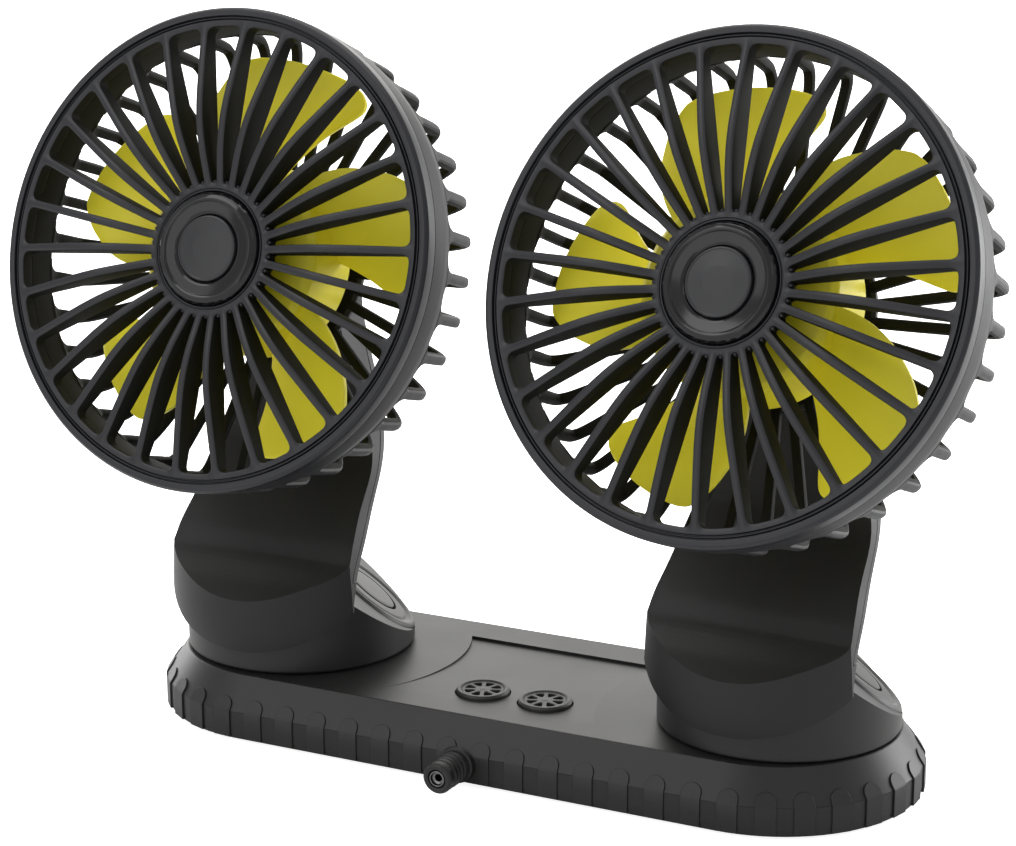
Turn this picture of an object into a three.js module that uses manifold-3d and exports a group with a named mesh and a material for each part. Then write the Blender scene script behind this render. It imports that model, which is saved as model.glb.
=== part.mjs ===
// Dual head car fan: a long low base, and two turrets that swivel on it, each with a tilting fan head.
// Millimetres, +Z up, the fans face -Y. The origin is the middle of the pad that the base stands on.
import * as THREE from 'three';
import { mergeVertices } from 'three/addons/utils/BufferGeometryUtils.js';
import Module from 'manifold-3d';

const wasm = await Module();
wasm.setup();

// Base
const baseLength = 223;
const baseDepth = 81;
const bandHeight = 7.9; // the upright band with its raised tabs
const shoulderHeight = 8.9; // the sloped shoulder above it
const shoulderInset = 6.4;
const topEdgeBevel = 0.8;
const wall = 2.2;
const floorThickness = 1.4;
const plinthGap = 0.8; // how far the tray stands off the surface on its pad
const padLength = 196;
const padDepth = 58;
const padSink = 0.8; // the depth of the pad's seat in the tray
const tabCount = 54;
const tabWidth = 5.4;
const tabRise = 0.5;
const firstLandShare = 0.087; // the first gap between tabs, as a share of their spacing
const panelRadius = 48; // the panel's hollow ends run round the turrets
const panelHalfDepth = 22;
const panelRecess = 0.5;
const baseScrewInset = 16;

// Clearances between pieces
const seatGap = 0.3;
const slideGap = 0.35;
const overrun = 2; // how far every cut runs past the face it opens

// Turrets
const turretSpacing = 145.6;
const drumRadius = 32.2;
const spigotRadius = 12;
const spigotBore = 6;
const retainerHeight = 2.4;
const retainerGroove = 1.5;
const retainerLip = 3.8;
const retainerGapShare = 0.12;
const seamHeight = 5.6; // the seam's height above the cover at the barrel's front
const seamSlopeShare = 0.8;
const capRadius = 17;
const capThickness = 2;
const capRim = 1.1;
const capDiscRadius = 8.6;
const capDiscRise = 0.7;
const capAzimuth = 32;
const capElevation = 50;
const capReach = 30.4; // from the foot of the cap's axis to its seat
const capAxisDrop = 9.5; // how far that foot lies below the cover's top

// Necks
const barrelRadius = 36.4;
const pivotSetback = 8.9; // the tilt pin lies this far behind the swivel axis
const neckRise = 104.6; // from the cover's top to the tilt pin
const neckHalfWidth = 30;
const neckCoverThickness = 2.6;
const wireWayWidth = 10;
const earRadius = 7.2;
const earThickness = 5;
const lugWidth = 12;
const lugRadius = 6.6;
const pinRadius = 2.1;
const pinHeadRadius = 3.6;
const pinHeadHeight = 1.4;
const washerRadius = 5.6;
const washerThickness = 0.8;
const forkDrop = 8.4; // the fork's floor lies this far below the pin

// Fan heads, with depths measured back from the front ring
const ringRadius = 64;
const ringFlange = 4.4;
const ringDepth = 4.6;
const ringBevel = 0.9;
const collarDepth = 8;
const collarThickness = 1.6;
const pinToFront = 54;
const spokeCount = 30;
const spokeWidth = 2.2;
const spokeSetback = 0.3;
const spokeOuterDepth = 3.6;
const spokeHubDepth = 6.2;
const hubRadius = 16.5;
const hubWall = 2;
const hubPlateDepth = 3;
const hubPlateThickness = 3.6;
const hubRise = 1.2; // how far the hub stands proud of the ring
const hubRingInner = 9;
const hubRingRise = 0.9;
const hubDiscRise = 0.3;
const cageWallThickness = 1.9;
const cageWallDepth = 9.8;
const ribCount = 36;
const ribWidth = 2;
const ribThickness = 1.5;
const cageDepth = 38.6;
const cageHubRadius = 26;
const cageHubThickness = 2.4;
const motorRadius = 12.4;
const motorLength = 21;
const motorBevel = 1.4;
const shaftRadius = 1.2;
const motorCoverRadius = 22;
const motorCoverDepth = 6.4;
const motorCoverTopRadius = 13;
const bladeCount = 5;
const bladeClearance = 5.6; // between the blade tips and the grille's collar
const bladeThickness = 1.5;
const bladeFront = 11; // the depth of the front edges
const bladeSweepDepth = 16;
const bladeAngle = 60;
const rotorRadius = 26;
const rotorWall = 1.5;
const rotorDepth = 20;
const rotorFront = 9.5;
const nutRadius = 3.2;
const nutHeight = 2;

// Controls and inlet
const buttonRadius = 7.3;
const buttonSpacing = 18.7;
const buttonOffset = 3.1; // the pair stands this far right of the middle
const buttonSetForward = 16.5;
const buttonRise = 1.1;
const buttonFlange = 1.2;
const buttonFlangeHeight = 1;
const buttonTravel = 0.6;
const buttonStemRadius = 1.8;
const petalCount = 8;
const petalDepth = 0.7;
const switchSize = 6;
const switchHeight = 3;
const plungerHeight = 0.8;
const boardLength = 52;
const boardDepth = 34;
const boardThickness = 1.6;
const boardHeight = 7;
const postRadius = 2.2;
const inletHeight = 5.4;
const inletOffset = 1.5; // the inlet stands this far left of the middle
const inletReach = 12;
const glandRadius = 3.7;
const glandFlangeRadius = 4.4;
const glandFlange = 1.2;
const glandReach = 7;
const glandRibCount = 3;
const glandRibDepth = 0.5;
const plugRadius = 3.4;
const plugBore = 2.1;
const sleeveWall = 0.5;
const contactRadius = 0.5;

// Screws
const screwHeadRadius = 2.5;
const screwHeadHeight = 1.5;
const screwShankRadius = 1.2;
const screwLength = 12;
const neckScrewLength = 19;
const bossRadius = 3;

// How finely round things are drawn
const ringSteps = 36;
const discSteps = 20;
const arcSteps = 9;
const smallSteps = 8;

// Rest pose, in degrees: each head's turn about the swivel axis, its upward tilt, and how its grille and
// blades are turned
const restPoses = [
  { side: 'left', sign: -1, yaw: 0, tilt: 17.3, spokeTurn: 4.5, bladeTurn: -11 },
  { side: 'right', sign: 1, yaw: -3.2, tilt: 21.8, spokeTurn: 10.5, bladeTurn: 11 },
];

// Outlines as shares of the sizes they follow
const neckFrontShares = [[-1.04, 0.195], [-0.85, 0.245], [-0.62, 0.29], [-0.5, 0.35], [-0.33, 0.42],
  [-0.055, 0.53],
  [0.05, 0.64], [0.072, 0.768], [0.06, 0.9]];
const neckRearShares = [[0.43, 0.9], [0.412, 0.78], [0.335, 0.663], [0.21, 0.577], [0.066, 0.505],
  [-0.124, 0.42], [-0.302, 0.348], [-0.464, 0.276], [-0.563, 0.195]];
const neckCoverTopShare = 0.84;
const neckCoverFootShare = 0.25;
const neckWidthShares = [[1, 0], [0.95, 0.29], [0.883, 0.42], [0.833, 0.53], [0.7, 0.645], [0.55, 0.76],
  [0.45, 0.86]];
const neckCrownShare = 0.9; // above this height the neck is as wide as its two ears
const neckTopShare = 1.1;
const barrelShares = [[0.9, 0.01], [0.965, 0.067], [0.995, 0.11], [1, 0.15], [0.985, 0.2], [0.975, 0.3],
  [0.975, 1.1]];
const ribOuterShares = [[0.995, 0.36], [0.985, 0.64], [0.93, 0.79], [0.4, 0.985]];
// Each blade from root to tip: how far out, and where its rear and front edges lie in the blade's angle
const bladeShares = [[0, 0.24, 1], [0.17, 0.18, 0.97], [0.51, 0.065, 0.85], [0.79, -0.015, 0.72], [0.934,
  0, 0.64],
  [1, 0.12, 0.55]];
const petalShares = [[0.3, 0], [0.68, 0.13], [0.85, 0], [0.68, -0.13]];

// Sizes that follow
const coverTop = plinthGap + bandHeight + shoulderHeight;
const bandTop = plinthGap + bandHeight;
const baseRadius = baseDepth / 2;
const baseHalf = baseLength / 2;
const plateUnder = coverTop - wall;
const pivotHeight = coverTop + neckRise;
const collarOuter = ringRadius - ringFlange + collarThickness;
const cageOuter = collarOuter + seatGap + cageWallThickness;
const bladeTipRadius = ringRadius - ringFlange - bladeClearance;
const cageHubFront = cageDepth - cageHubThickness;
const motorRear = cageHubFront - seatGap;
const motorFront = motorRear - motorLength;
const buttonTop = coverTop + buttonRise;
const buttonUnder = plateUnder - seatGap;
const trayFloor = plinthGap + floorThickness;
const forkHalf = lugWidth / 2 + washerThickness + 2 * seatGap;
const earOuter = forkHalf + earThickness;
const motorCoverFront = cageDepth + seatGap;

const rad = THREE.MathUtils.degToRad;

// The turn of a group that stands a piece drawn along +Y along +Z, and the reverse
const upright = new THREE.Matrix4().makeRotationX(Math.PI / 2);
const sideways = new THREE.Matrix4().makeBasis(
  new THREE.Vector3(0, 1, 0), new THREE.Vector3(0, 0, 1), new THREE.Vector3(1, 0, 0));

// A closed solid from a geometry, with its seams merged and its faces pointing out
function solidOf(geometry) {
  const bare = geometry.clone();
  bare.deleteAttribute('normal');
  bare.deleteAttribute('uv');
  const merged = mergeVertices(bare);
  const position = merged.getAttribute('position');
  const index = merged.getIndex().array;
  const triangles = [];
  let volume = 0;
  const a = new THREE.Vector3();
  const b = new THREE.Vector3();
  const c = new THREE.Vector3();
  for (let i = 0; i < index.length; i += 3) {
    const [p, q, r] = [index[i], index[i + 1], index[i + 2]];
    if (p === q || q === r || r === p) continue;
    triangles.push(p, q, r);
    a.fromBufferAttribute(position, p);
    b.fromBufferAttribute(position, q);
    c.fromBufferAttribute(position, r);
    volume += a.dot(b.cross(c));
  }
  if (volume < 0) triangles.reverse();
  return new wasm.Manifold(new wasm.Mesh({
    numProp: 3,
    vertProperties: new Float32Array(position.array),
    triVerts: new Uint32Array(triangles),
  }));
}

function geometryOf(solid) {
  const mesh = solid.getMesh();
  const geometry = new THREE.BufferGeometry();
  geometry.setAttribute('position', new THREE.Float32BufferAttribute(mesh.vertProperties, 3));
  geometry.setIndex(Array.from(mesh.triVerts));
  return geometry;
}

function placed(geometry, matrix) {
  return solidOf(geometry.clone().applyMatrix4(matrix));
}

// A solid of revolution about +Y from [radius, height] pairs
function turned(profile, steps = ringSteps) {
  const points = profile.map(([radius, height]) => new THREE.Vector2(radius, height));
  points.push(points[0].clone());
  return solidOf(new THREE.LatheGeometry(points, steps));
}

// The same about +Z
function turnedUp(profile, steps = ringSteps) {
  const points = profile.map(([radius, height]) => new THREE.Vector2(radius, height));
  points.push(points[0].clone());
  return placed(new THREE.LatheGeometry(points, steps), upright);
}

function disc(radius, low, high, steps = ringSteps) {
  return turnedUp([[0, low], [radius, low], [radius, high], [0, high]], steps);
}

function moved(solid, x, y, z) {
  const matrix = new THREE.Matrix4().makeTranslation(x, y, z);
  return solidOf(geometryOf(solid).applyMatrix4(matrix));
}

function transformed(solid, matrix) {
  return solidOf(geometryOf(solid).applyMatrix4(matrix));
}

function shapeOf(points) {
  return new THREE.Shape(points.map(([x, y]) => new THREE.Vector2(x, y)));
}

// A prism along +Z from low to high
function prism(shape, low, high) {
  const geometry = new THREE.ExtrudeGeometry(shape, { depth: high - low, bevelEnabled: false,
    curveSegments: arcSteps });
  return solidOf(geometry.translate(0, 0, low));
}

// A prism along X whose outline is given as [y, z] pairs
function crossPrism(points, low, high) {
  const geometry = new THREE.ExtrudeGeometry(shapeOf(points), { depth: high - low, bevelEnabled: false });
  return solidOf(geometry.translate(0, 0, low).applyMatrix4(sideways));
}

function boxBetween(x0, x1, y0, y1, z0, z1) {
  const geometry = new THREE.BoxGeometry(x1 - x0, y1 - y0, z1 - z0);
  return solidOf(geometry.translate((x0 + x1) / 2, (y0 + y1) / 2, (z0 + z1) / 2));
}

// A solid through rings of points, each ring with as many points and closed by a flat end
function loft(rings) {
  const count = rings[0].length;
  const positions = rings.flat(2);
  const index = [];
  const last = (rings.length - 1) * count;
  for (let ring = 0; ring < rings.length - 1; ring += 1) {
    for (let i = 0; i < count; i += 1) {
      const a = ring * count + i;
      const b = ring * count + (i + 1) % count;
      index.push(a, b, b + count, a, b + count, a + count);
    }
  }
  for (let i = 1; i < count - 1; i += 1) {
    index.push(0, i + 1, i, last, last + i, last + i + 1);
  }
  const geometry = new THREE.BufferGeometry();
  geometry.setAttribute('position', new THREE.Float32BufferAttribute(positions, 3));
  geometry.setIndex(index);
  return solidOf(geometry);
}

// The base's outline at one height: two straight sides and two round ends, pulled in by an inset
function stadiumRing(inset, height) {
  const radius = baseRadius - inset;
  const straight = baseHalf - baseRadius;
  const ring = [];
  for (const end of [1, -1]) {
    for (let i = 0; i <= arcSteps; i += 1) {
      const angle = (i / arcSteps - 0.5) * Math.PI;
      ring.push([end * (straight + radius * Math.cos(angle)), end * radius * Math.sin(angle), height]);
    }
  }
  return ring;
}

function stadium(length, depth) {
  const radius = depth / 2;
  const straight = length / 2 - radius;
  const shape = new THREE.Shape();
  shape.absarc(straight, 0, radius, -Math.PI / 2, Math.PI / 2, false);
  shape.absarc(-straight, 0, radius, Math.PI / 2, 1.5 * Math.PI, false);
  return shape;
}

// A point on the band's outline at a distance along it, with the direction that faces out
function bandPoint(distance) {
  const straight = baseHalf - baseRadius;
  const arc = Math.PI * baseRadius;
  const half = 2 * straight + arc;
  const turn = Math.floor(distance / half);
  const along = distance - turn * half;
  const end = turn % 2 === 0 ? 1 : -1;
  if (along < 2 * straight) return { x: end * (along - straight), y: -end * baseRadius,
    angle: (end * -Math.PI) / 2 };
  const angle = (along - 2 * straight) / baseRadius - Math.PI / 2;
  const flip = end > 0 ? 0 : Math.PI;
  return {
    x: end * (straight + baseRadius * Math.cos(angle)),
    y: end * baseRadius * Math.sin(angle),
    angle: angle + flip,
  };
}

function standardMaterial(colour, roughness, metalness = 0) {
  return { colour, roughness, metalness };
}

const charcoal = standardMaterial(0x3a3b3e, 0.45);
const blackPlastic = standardMaterial(0x202123, 0.55);
const glossBlack = standardMaterial(0x1a1b1d, 0.15);
const yellowPlastic = standardMaterial(0xb9ad2c, 0.4);
const darkRubber = standardMaterial(0x222222, 0.85);
const steel = standardMaterial(0xb8babd, 0.3, 1);
const boardGreen = standardMaterial(0x1d5a35, 0.6);

function named(name, solid, look) {
  const material = new THREE.MeshStandardMaterial({
    color: look.colour, roughness: look.roughness, metalness: look.metalness,
  });
  const mesh = new THREE.Mesh(geometryOf(solid), material);
  mesh.name = name;
  return mesh;
}

// A pan-head screw along +Z, with its head below and its top face at zero
function screwSolid(length = screwLength) {
  const underHead = screwHeadHeight;
  return turnedUp([[0, 0], [screwHeadRadius - screwHeadHeight / 2, 0], [screwHeadRadius,
    screwHeadHeight / 2],
    [screwHeadRadius, underHead], [screwShankRadius, underHead], [screwShankRadius, length], [0, length]],
      smallSteps);
}

function screwHole(length, headRoom) {
  const clear = seatGap;
  const head = disc(screwHeadRadius + clear, -headRoom, screwHeadHeight + clear, smallSteps);
  return head.add(disc(screwShankRadius + clear, 0, length + clear, smallSteps));
}

const baseScrewPlaces = [[-1, -1], [1, -1], [1, 1], [-1, 1]].map(([sx, sy]) => [
  sx * (turretSpacing / 2 - spigotRadius - retainerLip - baseScrewInset / 2),
  sy * (baseRadius - shoulderInset - wall - bossRadius - seatGap),
]);

// The sloped shoulder and top plate, open below
function topCover() {
  const bottom = bandTop + seatGap;
  let solid = loft([
    stadiumRing(tabRise, bottom),
    stadiumRing(shoulderInset - topEdgeBevel, coverTop - topEdgeBevel / 2),
    stadiumRing(shoulderInset, coverTop),
  ]);
  solid = solid.subtract(loft([
    stadiumRing(wall, bottom - overrun),
    stadiumRing(wall, bottom),
    stadiumRing(shoulderInset + wall / 2, plateUnder),
  ]));
  for (const [x, y] of baseScrewPlaces) {
    const boss = moved(disc(bossRadius, bottom, plateUnder + seatGap, smallSteps), x, y, 0);
    solid = solid.add(boss).subtract(moved(screwHole(screwLength, 0), x, y, screwSeat()));
  }
  for (const { sign } of restPoses) {
    const bore = disc(spigotRadius + slideGap, plateUnder - overrun, coverTop + overrun, discSteps);
    solid = solid.subtract(moved(bore, (sign * turretSpacing) / 2, 0, 0));
  }
  for (const sign of [-1, 1]) {
    const bore = disc(buttonRadius + slideGap, plateUnder - overrun, coverTop + overrun, discSteps);
    solid = solid.subtract(moved(bore, buttonOffset + (sign * buttonSpacing) / 2, -buttonSetForward, 0));
  }
  return solid.subtract(panelRecessSolid()).subtract(inletOpening());
}

// The shallow panel between the turrets, open towards the front edge
function panelRecessSolid() {
  const half = turretSpacing / 2;
  let solid = boxBetween(-half, half, -baseDepth, panelHalfDepth, coverTop - panelRecess,
    coverTop + overrun);
  for (const sign of [-1, 1]) {
    solid = solid.subtract(moved(disc(panelRadius, coverTop - overrun, coverTop + 2 * overrun),
      sign * half, 0, 0));
  }
  return solid;
}

function screwSeat() {
  return plinthGap + screwHeadHeight / 2;
}

// The band, whose tabs stand proud of it, and the floor
function bottomTray() {
  let solid = loft([stadiumRing(0, plinthGap), stadiumRing(0, bandTop)]);
  solid = solid.subtract(loft([stadiumRing(wall, trayFloor), stadiumRing(wall, bandTop + overrun)]));
  const perimeter = 4 * (baseHalf - baseRadius) + 2 * Math.PI * baseRadius;
  const landHalf = (perimeter / tabCount - tabWidth) / 2;
  for (let i = 0; i < tabCount; i += 1) {
    const spot = bandPoint(((i + firstLandShare) / tabCount) * perimeter);
    const land = boxBetween(-tabRise, overrun, -landHalf, landHalf, 0, bandTop + overrun);
    const matrix = new THREE.Matrix4().makeRotationZ(spot.angle).setPosition(spot.x, spot.y, 0);
    solid = solid.subtract(transformed(land, matrix));
  }
  const seat = prism(stadium(padLength + 2 * seatGap, padDepth + 2 * seatGap), 0, plinthGap + padSink);
  solid = solid.subtract(seat);
  for (const [x, y] of baseScrewPlaces) {
    const post = moved(disc(bossRadius, plinthGap + padSink, bandTop, smallSteps), x, y, 0);
    solid = solid.add(post).subtract(moved(screwHole(screwLength, screwLength), x, y, screwSeat()));
  }
  for (const sign of [-1, 1]) {
    const post = disc(postRadius, trayFloor - seatGap, boardHeight - seatGap, smallSteps);
    solid = solid.add(moved(post, buttonOffset + (sign * boardLength) / 3, 0, 0));
  }
  return solid.subtract(inletOpening());
}

function pad() {
  let solid = prism(stadium(padLength, padDepth), 0, plinthGap + padSink - seatGap);
  for (const [x, y] of baseScrewPlaces) {
    solid = solid.subtract(moved(disc(bossRadius + seatGap, -overrun, plinthGap + overrun, smallSteps), x,
      y, 0));
  }
  return solid;
}

// The round way through the front wall that the gland fills
function inletOpening() {
  const hole = disc(glandRadius + seatGap, baseRadius - 2 * wall, baseRadius + overrun, ringSteps / 2);
  return moved(transformed(hole, upright), -inletOffset, 0, inletHeight + plinthGap);
}

// Solids about the inlet's axis, drawn along -Y from the band's face outwards
function inletSolid(profile, steps = smallSteps) {
  return transformed(turnedUp(profile, steps), upright);
}

function gland() {
  const face = baseRadius + seatGap;
  const bore = plugBore + sleeveWall + seatGap;
  const neck = glandRadius - glandRibDepth;
  const profile = [[bore, baseRadius - 2 * wall], [glandRadius, baseRadius - 2 * wall], [glandRadius,
    face],
    [glandFlangeRadius, face], [glandFlangeRadius, face + glandFlange]];
  const pitch = (glandReach - glandFlange) / glandRibCount;
  for (let i = 0; i < glandRibCount; i += 1) {
    const start = face + glandFlange + i * pitch;
    profile.push([neck, start], [neck, start + pitch / 2], [glandRadius, start + pitch / 2], [glandRadius,
      start + pitch]);
  }
  profile.push([bore, face + glandReach]);
  return inletSolid(profile);
}

function plugShell() {
  const start = baseRadius + glandReach + 2 * seatGap;
  const end = baseRadius + inletReach;
  const inner = plugBore + sleeveWall + seatGap;
  return inletSolid([[inner, start], [plugRadius, start], [plugRadius, end - sleeveWall],
    [plugRadius - sleeveWall, end], [inner, end]]);
}

function sleeve() {
  return inletSolid([[plugBore, baseRadius], [plugBore + sleeveWall, baseRadius],
    [plugBore + sleeveWall, baseRadius + inletReach - sleeveWall], [plugBore,
      baseRadius + inletReach - sleeveWall]]);
}

function contactPin() {
  const start = baseRadius - wall;
  const back = plugBore - seatGap;
  return inletSolid([[0, start], [back, start], [back, baseRadius + glandRibDepth], [contactRadius,
    baseRadius + glandRibDepth],
    [contactRadius, baseRadius + glandReach + glandRibDepth], [0,
      baseRadius + glandReach + glandRibDepth]]);
}

function board() {
  const x = buttonOffset;
  return boxBetween(x - boardLength / 2, x + boardLength / 2, -boardDepth / 2 - buttonSetForward / 2,
    boardDepth / 2 - buttonSetForward / 2, boardHeight, boardHeight + boardThickness);
}

function switchSolid(x) {
  const low = boardHeight + boardThickness + seatGap;
  const half = switchSize / 2;
  const body = boxBetween(x - half, x + half, -buttonSetForward - half, -buttonSetForward + half, low,
    low + switchHeight);
  return body.add(moved(disc(buttonStemRadius, low, low + switchHeight + plungerHeight, smallSteps), x,
    -buttonSetForward, 0));
}

// A button cap with teardrop petals sunk in its face and a flange that holds it under the plate
function button() {
  const stemFoot = boardHeight + boardThickness + 2 * seatGap + switchHeight + plungerHeight +
    buttonTravel;
  const flangeFoot = buttonUnder - buttonFlangeHeight;
  const bevel = buttonFlange / 2;
  let solid = turnedUp([[0, stemFoot], [buttonStemRadius, stemFoot], [buttonStemRadius, flangeFoot],
    [buttonRadius + buttonFlange, flangeFoot], [buttonRadius + buttonFlange, buttonUnder], [buttonRadius,
      buttonUnder],
    [buttonRadius, buttonTop - bevel], [buttonRadius - bevel, buttonTop], [0, buttonTop]], ringSteps / 2);
  for (let i = 0; i < petalCount; i += 1) {
    const petal = prism(shapeOf(petalShares.map(([x, y]) => [x * buttonRadius, y * buttonRadius])),
      buttonTop - petalDepth, buttonTop + overrun);
    solid = solid.subtract(transformed(petal, new THREE.Matrix4().makeRotationZ((i / petalCount) * 2 *
      Math.PI)));
  }
  return solid;
}

// A wedge of space above the seam between neck and drum, which rises to the rear
function aboveSeam(gap) {
  const low = coverTop + seamHeight + gap;
  const rise = seamSlopeShare;
  const front = -barrelRadius - overrun;
  const rear = barrelRadius + overrun;
  const top = pivotHeight + 2 * earRadius;
  return crossPrism([[front, low - rise * overrun], [rear, low + rise * (rear + barrelRadius)], [rear,
    top], [front, top]],
    -barrelRadius - overrun, barrelRadius + overrun);
}

const sharePoint = ([y, z]) => [y * barrelRadius, coverTop + z * neckRise];

// The height range and taper that every neck piece keeps within
function neckEnvelope() {
  const right = neckWidthShares.map(([x, z]) => [x * neckHalfWidth, coverTop + z * neckRise]);
  right.push([earOuter, coverTop + neckCrownShare * neckRise], [earOuter,
    coverTop + neckTopShare * neckRise]);
  const left = right.map(([x, z]) => [-x, z]).reverse();
  const geometry = new THREE.ExtrudeGeometry(shapeOf([...right, ...left]), { depth: 2 * baseDepth,
    bevelEnabled: false });
  const taper = solidOf(geometry.translate(0, 0, -baseDepth).applyMatrix4(upright));
  const outline = barrelShares.map(([r, z]) => [r * barrelRadius, coverTop + z * neckRise]);
  const barrel = turnedUp([[0, outline[0][1]], ...outline, [0, outline[outline.length - 1][1]]]);
  return taper.intersect(barrel);
}

// A round bar along X through the tilt pin's place in the turret
function barAtPivot(radius, low, high, steps = smallSteps) {
  const bar = disc(radius, low, high, steps);
  const alongX = new THREE.Matrix4().makeRotationY(Math.PI / 2).setPosition(0, pivotSetback, pivotHeight);
  return transformed(bar, alongX);
}

// The whole neck before it is parted into its shell and its rear cover
function neckWhole() {
  const front = neckFrontShares.map(sharePoint);
  const rear = neckRearShares.map(sharePoint);
  const foot = coverTop - overrun;
  const outline = [[front[0][0], foot], ...front, [pivotSetback - earRadius, pivotHeight],
    [pivotSetback + earRadius, pivotHeight], ...rear, [rear[rear.length - 1][0], foot]];
  const slab = crossPrism(outline, -barrelRadius, barrelRadius);
  const ears = barAtPivot(earRadius, -barrelRadius, barrelRadius, ringSteps / 2);
  return slab.add(ears).intersect(neckEnvelope()).intersect(aboveSeam(seatGap / 2));
}

// The space behind the parting line between the neck's shell and its cover
function coverSpace(gap) {
  const rear = neckRearShares.filter(([, z]) => z <= neckCoverTopShare &&
    z >= neckCoverFootShare).map(sharePoint);
  const lineTop = coverTop + neckCoverTopShare * neckRise - gap;
  const lineFoot = coverTop + neckCoverFootShare * neckRise + gap;
  const parting = rear.map(([y, z]) => [y - neckCoverThickness + gap, z]);
  const last = parting[parting.length - 1];
  return crossPrism([[parting[0][0], lineTop], ...parting, [last[0], lineFoot],
    [barrelRadius, lineFoot], [barrelRadius, lineTop]], -barrelRadius, barrelRadius);
}

// The wire way in the shell, under the cover
function wireWay() {
  const inner = neckRearShares.filter(([, z]) => z <= neckCoverTopShare &&
    z >= neckCoverFootShare).map(sharePoint);
  const deep = inner.map(([y, z]) => [y - 2 * neckCoverThickness, z]);
  const shallow = inner.map(([y, z]) => [y + overrun, z]).reverse();
  return crossPrism([...deep, ...shallow], -wireWayWidth / 2, wireWayWidth / 2);
}

function neckShell() {
  const forkFloor = pivotHeight - forkDrop;
  const fork = boxBetween(-forkHalf, forkHalf, -baseDepth, baseDepth, forkFloor,
    pivotHeight + 2 * earRadius);
  const pinHole = barAtPivot(pinRadius + seatGap, -barrelRadius, barrelRadius);
  return neckWhole().subtract(coverSpace(0)).subtract(wireWay()).subtract(fork).subtract(pinHole)
    .subtract(neckScrewHole());
}

function neckCover() {
  return neckWhole().intersect(coverSpace(seatGap));
}

function neckScrewFoot() {
  return coverTop + wall / 2 + seatGap;
}

// The screw that holds the neck to the drum stands under the barrel's front
function neckScrewHole() {
  return moved(screwHole(neckScrewLength, overrun), 0, neckScrewSetting(), neckScrewFoot());
}

function neckScrewSetting() {
  return -drumRadius + wall + screwHeadRadius + 2 * seatGap;
}

// The turn and place of one oblique cap: its axis leans to one side and to the rear
function capMatrix(sign, lift) {
  const azimuth = rad(capAzimuth);
  const elevation = rad(capElevation);
  const axis = new THREE.Vector3(sign * Math.cos(azimuth) * Math.cos(elevation),
    Math.sin(azimuth) * Math.cos(elevation), Math.sin(elevation));
  const turn = new THREE.Quaternion().setFromUnitVectors(new THREE.Vector3(0, 0, 1), axis);
  const foot = new THREE.Vector3(0, 0, coverTop - capAxisDrop).addScaledVector(axis, capReach + lift);
  return new THREE.Matrix4().makeRotationFromQuaternion(turn).setPosition(foot);
}

function capSolid(sign) {
  const rim = capRadius - capRim;
  const slotFloor = capThickness - capRim / 2;
  const solid = turnedUp([[0, 0], [capRadius - seatGap, 0], [capRadius - seatGap, capThickness],
    [rim, capThickness + capRim / 2], [capDiscRadius + capRim, slotFloor], [capDiscRadius, slotFloor],
    [capDiscRadius, capThickness + capDiscRise], [0, capThickness + capDiscRise]], discSteps);
  return transformed(solid, capMatrix(sign, seatGap - capThickness));
}

// The drum on the base, with two oblique flats for the caps, a sloped front under the neck and a hollow
// inside
function drum() {
  const low = coverTop + seatGap;
  const high = coverTop + neckRise / 2;
  let solid = disc(drumRadius, low, high);
  let hollow = disc(drumRadius - wall, low - overrun, high - wall);
  const cut = 2 * baseDepth;
  for (const sign of [-1, 1]) {
    const over = boxBetween(-cut, cut, -cut, cut, 0, cut);
    solid = solid.subtract(transformed(over, capMatrix(sign, 0)));
    hollow = hollow.subtract(transformed(over, capMatrix(sign, -capThickness - 2 * wall)));
  }
  solid = solid.subtract(aboveSeam(-seatGap / 2).intersect(frontSpace())).subtract(neckClearance(seatGap));
  const boss = moved(disc(bossRadius + seatGap, 0, pivotHeight, smallSteps), 0, neckScrewSetting(), 0);
  hollow = hollow.subtract(aboveSeam(-seatGap / 2 - 2 * wall)).subtract(neckClearance(seatGap + 2 *
    wall)).subtract(boss);
  const floorRing = disc(drumRadius - wall / 2, low, low + wall);
  solid = solid.subtract(hollow).add(floorRing);
  const spigotFoot = plateUnder - retainerHeight - retainerGroove - 2 * seatGap;
  const grooveTop = plateUnder;
  solid = solid.add(turnedUp([[0, spigotFoot], [spigotRadius, spigotFoot], [spigotRadius,
    spigotFoot + retainerGroove],
    [spigotRadius - retainerGroove, spigotFoot + retainerGroove], [spigotRadius - retainerGroove,
      grooveTop],
    [spigotRadius, grooveTop], [spigotRadius, low + wall], [0, low + wall]], discSteps));
  const bore = disc(spigotBore, spigotFoot - overrun, low + wall + overrun, ringSteps / 2);
  solid = solid.subtract(bore).subtract(neckScrewHole());
  for (const sign of [-1, 1]) {
    const seat = disc(capRadius, -capThickness, overrun, discSteps);
    solid = solid.subtract(transformed(seat, capMatrix(sign, 0)));
  }
  return solid;
}

// The space in front of the neck's rear face
function frontSpace() {
  const rear = sharePoint(neckRearShares[neckRearShares.length - 1])[0];
  return boxBetween(-cutReach(), cutReach(), -cutReach(), rear + seatGap, 0, pivotHeight);
}

function cutReach() {
  return 2 * baseDepth;
}

// What the neck's rear face needs clear in the drum
function neckClearance(gap) {
  const rear = neckRearShares.map(sharePoint).map(([y, z]) => [y + gap, z - gap]);
  const top = pivotHeight;
  return crossPrism([[-cutReach(), top], [rear[0][0], top], ...rear, [-cutReach(),
    rear[rear.length - 1][1]]],
    -barrelRadius - overrun, barrelRadius + overrun);
}

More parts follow.
